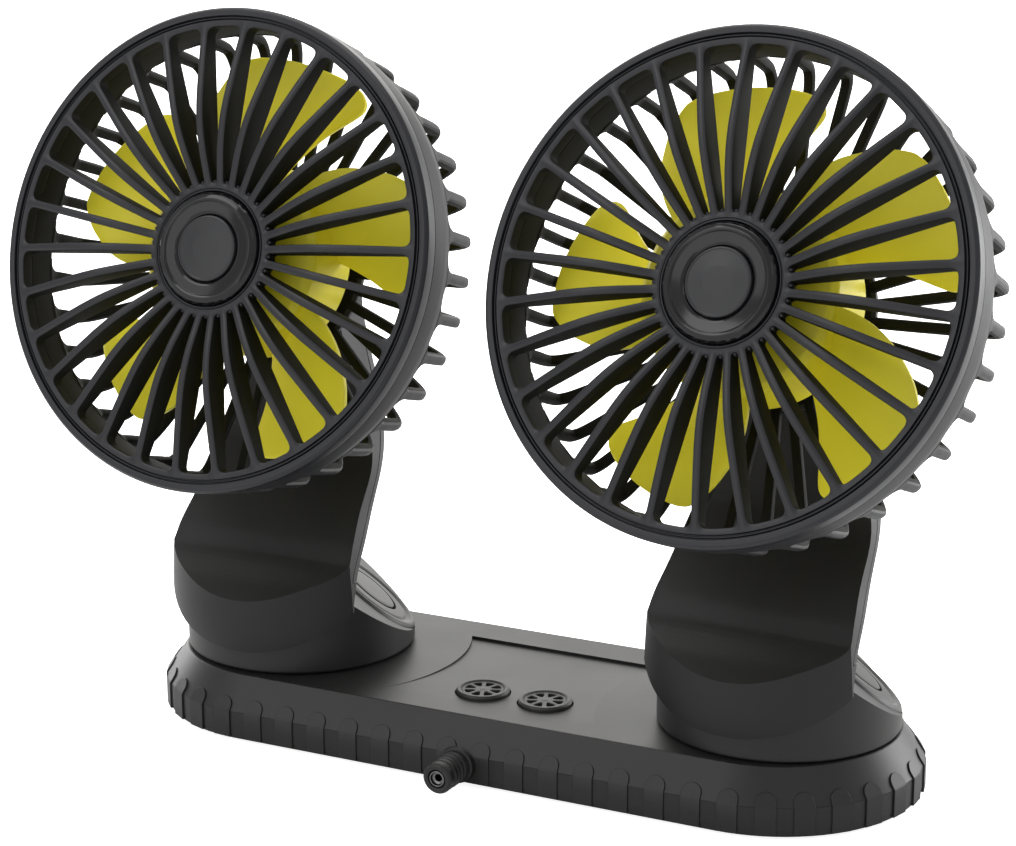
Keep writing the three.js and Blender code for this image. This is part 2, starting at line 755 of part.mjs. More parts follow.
// A snap ring in the spigot's groove, with its gap to one side
function retainer() {
  const high = plateUnder - seatGap;
  const low = high - retainerHeight;
  const inner = spigotRadius - retainerGroove + seatGap;
  const lip = spigotRadius + retainerLip;
  const ring = turnedUp([[inner, low], [lip, low], [lip, high], [inner, high]], discSteps);
  const reach = spigotRadius + retainerLip + overrun;
  const gapHalf = retainerGapShare * Math.PI * spigotRadius;
  return ring.subtract(boxBetween(0, reach, -gapHalf, gapHalf, low - overrun, high + overrun));
}

function tiltPin() {
  const half = earOuter + seatGap;
  return barAtPivot(pinRadius, -half, half).add(barAtPivot(pinHeadRadius, half, half + pinHeadHeight))
    .add(barAtPivot(pinHeadRadius, -half - pinHeadHeight, -half));
}

function tiltWasher(sign) {
  const inner = lugWidth / 2 + seatGap;
  const low = sign > 0 ? inner : -inner - washerThickness;
  return barAtPivot(washerRadius, low, low + washerThickness)
    .subtract(barAtPivot(pinRadius + seatGap, low - overrun, low + washerThickness + overrun));
}

// The fan head's own frame: the tilt pin is the origin, and depths run back from the front ring
const at = (depth) => depth - pinToFront;

function frontGrille(spokeTurn) {
  const inner = ringRadius - ringFlange;
  let solid = turned([[inner, at(ringBevel)], [inner + ringBevel, at(0)], [ringRadius - ringBevel, at(0)],
    [ringRadius, at(ringBevel)], [ringRadius, at(ringDepth)], [collarOuter, at(ringDepth)],
    [collarOuter, at(collarDepth)], [inner, at(collarDepth)]]);
  const hubBack = hubPlateDepth + hubPlateThickness;
  solid = solid.add(turned([[0, at(hubPlateDepth)], [hubRadius - hubWall, at(hubPlateDepth)],
    [hubRadius - hubWall, at(-hubRise)],
    [hubRadius, at(-hubRise + hubWall / 2)], [hubRadius, at(hubBack)], [0, at(hubBack)]], discSteps));
  for (let i = 0; i < spokeCount; i += 1) {
    const turn = new THREE.Matrix4().makeRotationY((i / spokeCount) * 2 * Math.PI - rad(spokeTurn));
    solid = solid.add(transformed(spoke(), turn));
  }
  return solid;
}

// One spoke: a vane that grows deeper towards the hub
function spoke() {
  const inner = hubRadius - hubWall / 2;
  const outer = ringRadius - ringFlange + collarThickness / 2;
  const outerFront = ringBevel + spokeSetback;
  const shape = shapeOf([[inner, at(spokeSetback)], [outer, at(outerFront)],
    [outer, at(outerFront + spokeOuterDepth)], [inner, at(spokeHubDepth)]]);
  const geometry = new THREE.ExtrudeGeometry(shape, { depth: spokeWidth, bevelEnabled: false });
  return solidOf(geometry.translate(0, 0, -spokeWidth / 2));
}

function hubRing() {
  const outer = hubRadius - hubWall - seatGap;
  const back = hubPlateDepth - seatGap;
  const crest = -hubRise - hubRingRise;
  const middle = (outer + hubRingInner) / 2;
  return turned([[hubRingInner, at(back)], [outer, at(back)], [outer, at(-hubRise)], [middle, at(crest)],
    [hubRingInner, at(-hubRise)]], discSteps);
}

function hubDisc() {
  const outer = hubRingInner - seatGap;
  const back = hubPlateDepth - seatGap;
  const face = -hubRise - hubDiscRise;
  return turned([[0, at(back)], [outer, at(back)], [outer, at(face + hubDiscRise)], [outer - hubDiscRise,
    at(face)],
    [0, at(face)]], discSteps);
}

function rearCage() {
  const wallFront = ringDepth + seatGap;
  const wallRear = wallFront + cageWallDepth;
  const inner = cageOuter - cageWallThickness;
  let solid = turned([[inner, at(wallFront)], [cageOuter, at(wallFront)], [cageOuter, at(wallRear)],
    [inner, at(wallRear)]]);
  const bore = shaftRadius + 2 * seatGap;
  solid = solid.add(turned([[bore, at(cageHubFront)], [cageHubRadius, at(cageHubFront)], [cageHubRadius,
    at(cageDepth)], [bore, at(cageDepth)]]));
  for (let i = 0; i < ribCount; i += 1) {
    const turn = new THREE.Matrix4().makeRotationY((i / ribCount) * 2 * Math.PI);
    solid = solid.add(transformed(rib(), turn));
  }
  return solid;
}

// One rib of the cage: back from the wall, round a corner and in to the hub
function rib() {
  const outer = ribOuterShares.map(([r, d]) => [r * cageOuter, at(d * cageDepth)]);
  const inner = outer.map(([r, y], i) => (i < 2 ? [r - ribThickness, y] : [r - ribThickness / 2,
    y - ribThickness]));
  const geometry = new THREE.ExtrudeGeometry(shapeOf([...outer, ...inner.reverse()]), { depth: ribWidth,
    bevelEnabled: false });
  return solidOf(geometry.translate(0, 0, -ribWidth / 2));
}

function motor() {
  const bore = shaftRadius + seatGap;
  return turned([[bore, at(motorFront)], [motorRadius - motorBevel, at(motorFront)], [motorRadius,
    at(motorFront + motorBevel)],
    [motorRadius, at(motorRear)], [bore, at(motorRear)]], ringSteps / 2);
}

// The cover behind the cage, whose lug the tilt pin passes through
function motorCover() {
  const rear = motorCoverFront + motorCoverDepth;
  const dome = turned([[0, at(motorCoverFront)], [motorCoverRadius, at(motorCoverFront)],
    [motorCoverRadius, at(motorCoverFront + wall)],
    [motorCoverTopRadius, at(rear)], [0, at(rear)]], discSteps);
  const hollow = turned([[0, at(motorCoverFront - overrun)], [motorCoverRadius - wall,
    at(motorCoverFront - overrun)],
    [motorCoverRadius - wall, at(motorCoverFront + wall / 2)], [motorCoverTopRadius - wall,
      at(rear - wall)],
    [0, at(rear - wall)]], discSteps);
  const half = lugWidth / 2;
  const lugBlock = boxBetween(-half, half, at(rear - wall / 2), 0, -lugRadius, lugRadius);
  const alongX = new THREE.Matrix4().makeRotationY(Math.PI / 2);
  const lugEnd = transformed(disc(lugRadius, -half, half, ringSteps / 2), alongX);
  const hole = transformed(disc(pinRadius + seatGap, -lugWidth, lugWidth, smallSteps), alongX);
  return dome.subtract(hollow).add(lugBlock).add(lugEnd).subtract(hole);
}

function rotorShaft() {
  const front = rotorFront - nutHeight - 2 * seatGap;
  return turned([[0, at(front)], [shaftRadius, at(front)], [shaftRadius, at(cageDepth)], [0,
    at(cageDepth)]], smallSteps);
}

function rotorNut() {
  const front = rotorFront - seatGap - nutHeight;
  const bore = shaftRadius + seatGap;
  return turned([[bore, at(front)], [nutRadius, at(front)], [nutRadius, at(front + nutHeight)], [bore,
    at(front + nutHeight)]], 6);
}

function impeller(bladeTurn) {
  const rear = rotorFront + rotorDepth;
  const inner = rotorRadius - rotorWall;
  const bore = shaftRadius + seatGap;
  let solid = turned([[bore, at(rotorFront)], [rotorRadius - rotorWall, at(rotorFront)], [rotorRadius,
    at(rotorFront + rotorWall)],
    [rotorRadius, at(rear)], [inner, at(rear)], [inner, at(rotorFront + rotorWall)], [bore,
      at(rotorFront + rotorWall)]],
  discSteps);
  for (let i = 0; i < bladeCount; i += 1) {
    const turn = new THREE.Matrix4().makeRotationY((i / bladeCount) * 2 * Math.PI - rad(bladeTurn));
    solid = solid.add(transformed(blade(), turn));
  }
  return solid;
}

// One blade: a broad plate that climbs from its rear edge to its front edge, slanted at the tip's front
// corner
function blade() {
  const stepsAcross = 4;
  const root = rotorRadius - rotorWall / 2;
  const rings = bladeShares.map(([outShare, rearShare, frontShare]) => {
    const radius = root + outShare * (bladeTipRadius - root);
    const across = [];
    for (let i = 0; i <= stepsAcross; i += 1) {
      const share = rearShare + (frontShare - rearShare) * (i / stepsAcross);
      const angle = rad(bladeAngle) * share;
      const depth = bladeFront + bladeSweepDepth * (1 - share);
      across.push([radius * Math.cos(angle), depth, radius * Math.sin(angle)]);
    }
    const front = across.map(([x, depth, z]) => [x, at(depth), z]);
    const back = across.map(([x, depth, z]) => [x, at(depth + bladeThickness), z]).reverse();
    return [...front, ...back];
  });
  return loft(rings);
}

const fan = new THREE.Group();

function addBase() {
  fan.add(named('base_top_cover', topCover(), charcoal));
  fan.add(named('base_tray', bottomTray(), charcoal));
  fan.add(named('base_pad', pad(), darkRubber));
  fan.add(named('control_board', board(), boardGreen));
  baseScrewPlaces.forEach(([x, y], i) => {
    fan.add(named(`base_screw_${i + 1}`, moved(screwSolid(), x, y, screwSeat()), steel));
  });
  for (const [side, sign] of [['left', -1], ['right', 1]]) {
    const x = buttonOffset + (sign * buttonSpacing) / 2;
    fan.add(named(`${side}_fan_switch`, switchSolid(x), blackPlastic));
    fan.add(named(`${side}_fan_button`, moved(button(), x, -buttonSetForward, 0), charcoal));
  }
  const inlet = new THREE.Group();
  inlet.position.set(-inletOffset, 0, inletHeight + plinthGap);
  inlet.add(named('inlet_gland', gland(), darkRubber), named('inlet_plug_shell', plugShell(),
    blackPlastic));
  inlet.add(named('inlet_sleeve', sleeve(), steel), named('inlet_contact', contactPin(), steel));
  fan.add(inlet);
}

function addHead({ side, sign, yaw, tilt, spokeTurn, bladeTurn }) {
  const turret = new THREE.Group();
  turret.position.x = (sign * turretSpacing) / 2;
  turret.rotation.z = rad(yaw);
  turret.add(named(`${side}_turret_drum`, drum(), blackPlastic), named(`${side}_turret_retainer`,
    retainer(), steel));
  turret.add(named(`${side}_turret_cap_outer`, capSolid(sign), charcoal),
    named(`${side}_turret_cap_inner`, capSolid(-sign), charcoal));
  turret.add(named(`${side}_neck_shell`, neckShell(), blackPlastic), named(`${side}_neck_cover`,
    neckCover(), blackPlastic));
  const screw = moved(screwSolid(neckScrewLength), 0, neckScrewSetting(), neckScrewFoot());
  turret.add(named(`${side}_neck_screw`, screw, steel), named(`${side}_tilt_pin`, tiltPin(), steel));
  turret.add(named(`${side}_tilt_washer_a`, tiltWasher(-1), darkRubber), named(`${side}_tilt_washer_b`,
    tiltWasher(1), darkRubber));

  const head = new THREE.Group();
  head.position.set(0, pivotSetback, pivotHeight);
  head.rotation.x = -rad(tilt);
  head.add(named(`${side}_front_grille`, frontGrille(spokeTurn), charcoal), named(`${side}_rear_cage`,
    rearCage(), charcoal));
  head.add(named(`${side}_hub_ring`, hubRing(), glossBlack), named(`${side}_hub_disc`, hubDisc(),
    charcoal));
  head.add(named(`${side}_motor`, motor(), steel), named(`${side}_motor_cover`, motorCover(), charcoal));
  head.add(named(`${side}_impeller`, impeller(bladeTurn), yellowPlastic), named(`${side}_rotor_shaft`,
    rotorShaft(), steel));
  head.add(named(`${side}_rotor_nut`, rotorNut(), steel));
  turret.add(head);
  fan.add(turret);
}

addBase();
restPoses.forEach(addHead);

export default fan;
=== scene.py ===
import math

import bmesh
import bpy
from mathutils import Matrix, Vector


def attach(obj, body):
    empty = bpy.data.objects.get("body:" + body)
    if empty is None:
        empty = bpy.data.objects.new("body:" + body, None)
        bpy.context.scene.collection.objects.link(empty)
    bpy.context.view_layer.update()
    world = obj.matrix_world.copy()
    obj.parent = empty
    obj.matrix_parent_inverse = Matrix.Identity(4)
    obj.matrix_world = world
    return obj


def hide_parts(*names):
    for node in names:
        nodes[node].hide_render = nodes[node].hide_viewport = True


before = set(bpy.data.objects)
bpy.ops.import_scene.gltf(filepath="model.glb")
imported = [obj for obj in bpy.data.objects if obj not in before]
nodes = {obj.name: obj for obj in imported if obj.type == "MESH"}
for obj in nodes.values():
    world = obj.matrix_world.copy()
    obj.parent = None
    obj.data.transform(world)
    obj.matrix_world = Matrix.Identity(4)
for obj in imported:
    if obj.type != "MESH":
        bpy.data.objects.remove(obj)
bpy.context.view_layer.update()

print("scene: frame loaded,", len(nodes), "nodes")

# Every piece is made in millimetres in its own frame, then placed in metres.
millimetre = 0.001
meshLook = {"weld": 1e-4, "sliver": 1e-5, "seam": 2e-3, "flatAngle": 0.4}


def newObject(name, data):
    made = bpy.data.objects.new(name, data)
    bpy.context.scene.collection.objects.link(made)
    return made


def meshPiece(name, verts, faces):
    mesh = bpy.data.meshes.new(name)
    mesh.from_pydata([tuple(v) for v in verts], [], faces)
    bm = bmesh.new()
    bm.from_mesh(mesh)
    bmesh.ops.remove_doubles(bm, verts=bm.verts, dist=meshLook["weld"])
    bmesh.ops.dissolve_degenerate(bm, edges=bm.edges, dist=meshLook["sliver"])
    bmesh.ops.recalc_face_normals(bm, faces=bm.faces)
    bm.to_mesh(mesh)
    bm.free()
    return newObject(name, mesh)


def bake(piece):
    # turns the live modifiers into plain mesh
    bpy.context.view_layer.update()
    graph = bpy.context.evaluated_depsgraph_get()
    done = bpy.data.meshes.new_from_object(piece.evaluated_get(graph), depsgraph=graph)
    piece.modifiers.clear()
    old = piece.data
    piece.data = done
    if old.users == 0:
        bpy.data.meshes.remove(old)
    return piece


def carve(piece, cutter, operation="DIFFERENCE"):
    cut = piece.modifiers.new("carve", "BOOLEAN")
    cut.object = cutter
    cut.operation = operation
    cut.solver = "EXACT"
    bake(piece)
    bpy.data.objects.remove(cutter)
    return piece


def soften(piece, width, segments=3, angle=34):
    # rounds the sharp edges that are left after the cuts
    flat = math.radians(meshLook["flatAngle"])
    bm = bmesh.new()
    bm.from_mesh(piece.data)
    bmesh.ops.remove_doubles(bm, verts=bm.verts, dist=meshLook["seam"])
    bmesh.ops.dissolve_limit(bm, angle_limit=flat, verts=bm.verts, edges=bm.edges)
    bm.to_mesh(piece.data)
    bm.free()
    rounding = piece.modifiers.new("soften", "BEVEL")
    rounding.width = width
    rounding.segments = segments
    rounding.limit_method = "ANGLE"
    rounding.angle_limit = math.radians(angle)
    rounding.use_clamp_overlap = True
    return bake(piece)


def joined(name, pieces):
    # one mesh from several, in millimetres
    bm = bmesh.new()
    for piece in pieces:
        bm.from_mesh(piece.data)
        bpy.data.objects.remove(piece)
    mesh = bpy.data.meshes.new(name)
    bm.to_mesh(mesh)
    bm.free()
    return newObject(name, mesh)


def flatten(piece):
    # large flat faces keep their own normal, and only the rounded edges blend
    blend = piece.modifiers.new("flatten", "WEIGHTED_NORMAL")
    blend.keep_sharp = True
    return bake(piece)


def place(piece, body, finish, where=None, stands=(), smooth=38, flat=False, isShadedInside=None):
    # puts a finished piece in the row frame and hands it to its body
    where = where or Matrix.Identity(4)
    mesh = piece.data
    inner = [face.index for face in mesh.polygons if isShadedInside(face)] if isShadedInside else []
    mesh.transform(Matrix.Scale(millimetre, 4) @ where)
    mesh.materials.clear()
    mesh.materials.append(finishes[finish])
    # the picked faces get the inside finish, whose darker olive colour is painted shade and a painted
    # reflection of the blades
    if isShadedInside:
        mesh.materials.append(finishes["inside"])
        for index in inner:
            mesh.polygons[index].material_index = 1
    mesh.shade_smooth()
    mesh.set_sharp_from_angle(angle=math.radians(smooth))
    mesh.update()
    if flat:
        flatten(piece)
    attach(piece, body)
    if stands:
        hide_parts(*stands)
    return piece


def roundedPath(points, steps=4, closed=True):
    # corners given as (x, y, radius) become short curves
    path = []
    last = len(points) - 1
    for i, (x, y, radius) in enumerate(points):
        corner = Vector((x, y))
        if not radius or (not closed and i in (0, last)):
            path.append((x, y))
            continue
        before = Vector(points[i - 1][:2]) - corner
        after = Vector(points[(i + 1) % len(points)][:2]) - corner
        half = before.angle(after) / 2
        cut = min(radius / max(math.tan(half), 1e-3), before.length * 0.49, after.length * 0.49)
        start = corner + before.normalized() * cut
        end = corner + after.normalized() * cut
        for k in range(steps + 1):
            t = k / steps
            spot = start * (1 - t) ** 2 + corner * 2 * t * (1 - t) + end * t * t
            path.append((spot.x, spot.y))
    return path


def smoothLine(points, steps=5):
    # a curve through the points, with evenly shared tangents
    line = []
    last = len(points) - 1
    for i in range(last):
        p0, p1 = Vector(points[max(i - 1, 0)]), Vector(points[i])
        p2, p3 = Vector(points[i + 1]), Vector(points[min(i + 2, last)])
        for k in range(steps):
            t = k / steps
            slope = (p2 - p0) * t
            square = (2 * p0 - 5 * p1 + 4 * p2 - p3) * t * t
            cube = (3 * p1 - p0 - 3 * p2 + p3) * t ** 3
            line.append(tuple(0.5 * (2 * p1 + slope + square + cube)))
    line.append(tuple(points[-1]))
    return line


def shifted(profile, by):
    return [(radius, height + by, corner) for radius, height, corner in profile]


def lathe(name, profile, steps=96, axis="y", cornerSteps=4):
    # a closed profile of (radius, height, corner radius) turned about an axis
    path = roundedPath(profile, cornerSteps)
    verts, faces = [], []
    for i in range(steps):
        turn = 2 * math.pi * i / steps
        for radius, height in path:
            a, b = radius * math.cos(turn), radius * math.sin(turn)
            verts.append((a, height, b) if axis == "y" else (a, b, height))
    count = len(path)
    for i in range(steps):
        j = (i + 1) % steps
        for k in range(count):
            m = (k + 1) % count
            faces.append((i * count + k, j * count + k, j * count + m, i * count + m))
    return meshPiece(name, verts, faces)


def rod(radius, low, high, steps):
    # an upright cylinder, to cut holes with
    return lathe("rod", [(0, low, 0), (radius, low, 0), (radius, high, 0), (0, high, 0)], steps, "z")


def stack(name, rings):
    # a solid through outlines with the same number of points, closed at both ends
    count = len(rings[0])
    verts = [v for ring in rings for v in ring]
    faces = [tuple(range(count)), tuple(range(len(verts) - count, len(verts)))]
    for low in range(0, len(verts) - count, count):
        for i in range(count):
            j = (i + 1) % count
            faces.append((low + i, low + j, low + count + j, low + count + i))
    return meshPiece(name, verts, faces)


def prism(name, outline, low, high, axis="x"):
    # a flat outline pushed along an axis
    def at(p, d):
        return {"x": (d, p[0], p[1]), "y": (p[0], d, p[1]), "z": (p[0], p[1], d)}[axis]
    return stack(name, [[at(p, d) for p in outline] for d in (low, high)])


# the corners of one face of a grid, as steps along its columns and rows
quad = ((0, 0), (1, 0), (1, 1), (0, 1))


def box(name, low, high):
    (x0, y0, z0), (x1, y1, z1) = low, high
    return prism(name, [(x0, y0), (x1, y0), (x1, y1), (x0, y1)], z0, z1, "z")


def turnedBy(piece, matrix):
    piece.data.transform(matrix)
    return piece


# Shader groups. A value that goes into a socket is a link or a plain number.
def feed(tree, value, socket):
    if isinstance(value, bpy.types.NodeSocket):
        tree.links.new(value, socket)
    else:
        socket.default_value = value


def newGroup(name, inputs, outputs):
    group = bpy.data.node_groups.new(name, "ShaderNodeTree")
    for label, kind, value in inputs:
        made = group.interface.new_socket(label, in_out="INPUT", socket_type="NodeSocket" + kind)
        made.default_value = value
    for label, kind in outputs:
        group.interface.new_socket(label, in_out="OUTPUT", socket_type="NodeSocket" + kind)
    return group, group.nodes.new("NodeGroupInput").outputs, group.nodes.new("NodeGroupOutput").inputs


def noise(tree, where, scale, detail, roughness=0.55):
    node = tree.nodes.new("ShaderNodeTexNoise")
    feed(tree, where, node.inputs["Vector"])
    feed(tree, scale, node.inputs["Scale"])
    feed(tree, detail, node.inputs["Detail"])
    feed(tree, roughness, node.inputs["Roughness"])
    return node.outputs["Fac"]


def maths(tree, operation, *values):
    node = tree.nodes.new("ShaderNodeMath")
    node.operation = operation
    for value, socket in zip(values, node.inputs):
        feed(tree, value, socket)
    return node.outputs[0]


def colourMix(tree, share, first, second):
    node = tree.nodes.new("ShaderNodeMix")
    node.data_type = "RGBA"
    feed(tree, share, node.inputs["Factor"])
    feed(tree, first, node.inputs["A"])
    feed(tree, second, node.inputs["B"])
    return node.outputs["Result"]


def ranged(tree, value, low, high):
    node = tree.nodes.new("ShaderNodeMapRange")
    feed(tree, low, node.inputs["From Min"])
    feed(tree, high, node.inputs["From Max"])
    feed(tree, value, node.inputs["Value"])
    return node.outputs["Result"]


def grainGroup():
    # the fine pebbled skin of moulded plastic
    group, given, out = newGroup("mouldedGrain", [("Scale", "Float", 1600.0), ("Depth", "Float", 0.2)],
        [("Normal", "Vector")])
    spot = group.nodes.new("ShaderNodeTexCoord").outputs["Object"]
    bump = group.nodes.new("ShaderNodeBump")
    feed(group, 0.0001, bump.inputs["Distance"])
    feed(group, given["Depth"], bump.inputs["Strength"])
    feed(group, noise(group, spot, given["Scale"], 3.0), bump.inputs["Height"])
    feed(group, bump.outputs["Normal"], out["Normal"])
    return group


def toneGroup():
    # slow drifts of colour and gloss, and the light dust that settles on what faces up
    dustColour = (0.22, 0.21, 0.19, 1)
    group, given, out = newGroup("mouldedTone",
        [("Dark", "Color", (0.03, 0.03, 0.032, 1)), ("Light", "Color", (0.05, 0.05, 0.053, 1)),
         ("Scale", "Float", 45.0), ("Dust", "Float", 0.1), ("Gloss", "Float", 0.4), ("Spread", "Float", 0.1)],
        [("Colour", "Color"), ("Roughness", "Float")])
    spot = group.nodes.new("ShaderNodeTexCoord").outputs["Object"]
    slow = noise(group, spot, given["Scale"], 4.0)
    speck = noise(group, spot, 900.0, 2.0, 0.7)
    drift = colourMix(group, slow, given["Dark"], given["Light"])
    normal = group.nodes.new("ShaderNodeSeparateXYZ")
    feed(group, group.nodes.new("ShaderNodeNewGeometry").outputs["Normal"], normal.inputs[0])
    facing = ranged(group, normal.outputs["Z"], 0.55, 1.0)
    flecks = ranged(group, speck, 0.35, 0.8)
    amount = maths(group, "MULTIPLY", maths(group, "MULTIPLY", facing, flecks), given["Dust"])
    feed(group, colourMix(group, amount, drift, dustColour), out["Colour"])
    sway = maths(group, "MULTIPLY_ADD", slow, given["Spread"], given["Gloss"])
    feed(group, maths(group, "MULTIPLY_ADD", amount, 0.6, sway), out["Roughness"])
    return group


grain = grainGroup()
tone = toneGroup()


def plastic(name, dark, light, gloss, spread=0.1, scale=45.0, dust=0.1, grainScale=1600.0, depth=0.2,
        metallic=0.0, coat=0.0, specular=0.32):
    material = bpy.data.materials.new(name)
    material.use_nodes = True
    tree = material.node_tree
    shader = tree.nodes["Principled BSDF"]
    looks = tree.nodes.new("ShaderNodeGroup")
    looks.node_tree = tone
    skin = tree.nodes.new("ShaderNodeGroup")
    skin.node_tree = grain
    for node, values in (
            (shader, {"Metallic": metallic, "Coat Weight": coat, "Coat Roughness": 0.08,
                      "Specular IOR Level": specular, "Base Color": looks.outputs["Colour"],
                      "Roughness": looks.outputs["Roughness"], "Normal": skin.outputs["Normal"]}),
            (looks, {"Dark": (*dark, 1), "Light": (*light, 1), "Scale": scale, "Dust": dust, "Gloss": gloss,
                     "Spread": spread}),
            (skin, {"Scale": grainScale, "Depth": depth})):
        for label, value in values.items():
            feed(tree, value, node.inputs[label])
    return material


finishes = {
    "grille": plastic("grilleCharcoal", (0.0078, 0.008, 0.0098), (0.0118, 0.0121, 0.0145), 0.34,
        dust=0.03, depth=0.1, specular=0.29),
    "cage": plastic("cageCharcoal", (0.0085, 0.0087, 0.0098), (0.0135, 0.0138, 0.0152), 0.44,
        dust=0.04, depth=0.12, specular=0.25),
    # matte finish for the faces inside the slots and the cage; its darker, olive colour is painted shade and
    # a painted reflection of the yellow blades
    "inside": plastic("insidePaintedShade", (0.0052, 0.0053, 0.0042), (0.0085, 0.0087, 0.0069), 0.62,
        dust=0.0, depth=0.15, specular=0.13),
    "base": plastic("baseCharcoal", (0.0072, 0.0072, 0.0075), (0.0108, 0.0107, 0.0108), 0.38,
        dust=0.05, depth=0.16, specular=0.3),
    # the neck shell's black is darker than the turret's black: painted shade for where the heads shadow the
    # neck
    "neck": plastic("neckShadedBlack", (0.003, 0.003, 0.0032), (0.0048, 0.0048, 0.005), 0.46,
        dust=0.02, specular=0.31),
    "turret": plastic("turretBlack", (0.0068, 0.0068, 0.007), (0.0104, 0.0104, 0.0106), 0.42, dust=0.03),
    "cap": plastic("capCharcoal", (0.008, 0.0078, 0.0075), (0.012, 0.0118, 0.0113), 0.4,
        dust=0.04, depth=0.1),
    "hub": plastic("hubGloss", (0.0035, 0.0035, 0.0043), (0.005, 0.005, 0.0058), 0.07,
        spread=0.05, dust=0.01, depth=0.02, coat=0.1, specular=0.26),
    "disc": plastic("discSatin", (0.0095, 0.0098, 0.011), (0.0135, 0.0138, 0.0152), 0.26,
        dust=0.01, depth=0.08),
    "blade": plastic("bladeYellow", (0.86, 0.76, 0.026), (0.94, 0.84, 0.042), 0.36,
        spread=0.12, scale=30.0, dust=0.03, depth=0.05),
    "button": plastic("buttonCharcoal", (0.014, 0.014, 0.0138), (0.02, 0.0198, 0.0192), 0.42,
        dust=0.05, depth=0.15),
    "rubber": plastic("padRubber", (0.008, 0.008, 0.008), (0.014, 0.014, 0.0135), 0.75,
        grainScale=700.0, depth=0.5),
    "gland": plastic("glandRubber", (0.006, 0.006, 0.0063), (0.01, 0.01, 0.01), 0.38,
        dust=0.05, grainScale=1200.0),
    "steel": plastic("platedSteel", (0.5, 0.5, 0.51), (0.64, 0.63, 0.62), 0.22,
        metallic=1.0, dust=0.03, grainScale=2600.0, depth=0.12),
    "nickel": plastic("darkNickel", (0.1, 0.1, 0.103), (0.16, 0.16, 0.16), 0.2,
        metallic=1.0, dust=0.03, grainScale=2600.0, depth=0.12),
    "can": plastic("drawnSteel", (0.42, 0.43, 0.45), (0.55, 0.55, 0.56), 0.3,
        metallic=1.0, dust=0.06, scale=90.0, grainScale=3000.0),
    "board": plastic("solderMask", (0.012, 0.09, 0.035), (0.02, 0.13, 0.05), 0.35,
        dust=0.04, grainScale=900.0, depth=0.15, coat=0.3),
}
print("scene: materials ready")


# Geometry nodes: one shape repeated round an axis, or along a closed path.
def newRepeater(name, inputs):
    tree = bpy.data.node_groups.new(name, "GeometryNodeTree")
    sockets = {}
    for label, kind in inputs:
        made = tree.interface.new_socket(label, in_out="INPUT", socket_type="NodeSocket" + kind)
        sockets[label] = made.identifier
    tree.interface.new_socket("Geometry", in_out="OUTPUT", socket_type="NodeSocketGeometry")
    return tree, sockets, tree.nodes.new("NodeGroupInput").outputs


def endRepeater(tree, given, points, turn):
    # a copy on each point, made real, welded where the tree has a distance for it, and given its finish
    new, link = tree.nodes.new, tree.links.new
    copies = new("GeometryNodeInstanceOnPoints")
    link(points, copies.inputs["Points"])
    link(given["Geometry"], copies.inputs["Instance"])
    link(turn, copies.inputs["Rotation"])
    real = new("GeometryNodeRealizeInstances")
    link(copies.outputs[0], real.inputs[0])
    shape = real.outputs[0]
    if "Weld" in given:
        weld = new("GeometryNodeMergeByDistance")
        link(shape, weld.inputs["Geometry"])
        link(given["Weld"], weld.inputs["Distance"])
        shape = weld.outputs[0]
    paint = new("GeometryNodeSetMaterial")
    link(shape, paint.inputs["Geometry"])
    link(given["Finish"], paint.inputs["Material"])
    link(paint.outputs[0], new("NodeGroupOutput").inputs["Geometry"])


def roundRepeater():
    tree, sockets, given = newRepeater("repeatRound", (
        ("Geometry", "Geometry"), ("Count", "Int"), ("Start", "Float"), ("Axis", "Vector"), ("Weld", "Float"),
        ("Finish", "Material")))
    dots = tree.nodes.new("GeometryNodePoints")
    feed(tree, given["Count"], dots.inputs["Count"])
    order = tree.nodes.new("GeometryNodeInputIndex").outputs[0]
    step = maths(tree, "DIVIDE", 2 * math.pi, given["Count"])
    turn = tree.nodes.new("FunctionNodeAxisAngleToRotation")
    feed(tree, given["Axis"], turn.inputs["Axis"])
    feed(tree, maths(tree, "MULTIPLY_ADD", order, step, given["Start"]), turn.inputs["Angle"])
    endRepeater(tree, given, dots.outputs[0], turn.outputs[0])
    return tree, sockets


def pathRepeater():
    tree, sockets, given = newRepeater("repeatAlong", (
        ("Geometry", "Geometry"), ("Path", "Object"), ("Count", "Int"), ("Finish", "Material")))
    route = tree.nodes.new("GeometryNodeObjectInfo")
    feed(tree, given["Path"], route.inputs["Object"])
    dots = tree.nodes.new("GeometryNodeCurveToPoints")
    feed(tree, route.outputs["Geometry"], dots.inputs["Curve"])
    feed(tree, given["Count"], dots.inputs["Count"])
    turn = tree.nodes.new("FunctionNodeAlignRotationToVector")
    turn.axis = "X"
    turn.pivot_axis = "Z"
    feed(tree, dots.outputs["Tangent"], turn.inputs["Vector"])
    endRepeater(tree, given, dots.outputs["Points"], turn.outputs[0])
    return tree, sockets


def repeated(piece, repeater, values):
    tree, sockets = repeater
    maker = piece.modifiers.new(tree.name, "NODES")
    maker.node_group = tree
    for label, value in values.items():
        maker[sockets[label]] = value
    return bake(piece)


aroundAxis = roundRepeater()
alongPath = pathRepeater()


def repeatRound(piece, count, finish, start=0.0, weld=0.0):
    return repeated(piece, aroundAxis, {"Count": count, "Start": start, "Axis": (0, 1, 0), "Weld": weld,
            "Finish": finishes[finish]})


def repeatAlong(piece, path, count, finish):
    return repeated(piece, alongPath, {"Path": path, "Count": count, "Finish": finishes[finish]})


# Where the turrets and heads stand. Angles are in degrees.
poseOf = {
    "left": {"sign": -1, "yaw": 0.0, "tilt": 17.3, "spokeTurn": 4.5, "bladeTurn": -11.0},
    "right": {"sign": 1, "yaw": -3.2, "tilt": 21.8, "spokeTurn": 10.5, "bladeTurn": 11.0},
}
layout = {"turretSpacing": 145.6, "coverTop": 17.6, "pivotSetback": 8.9, "pivotRise": 104.6}
hinge = {"bore": 2.4, "boreReach": 20}


def heightAt(share):
    # from the cover's top at 0 to the tilt pin at 1
    return layout["coverTop"] + share * layout["pivotRise"]


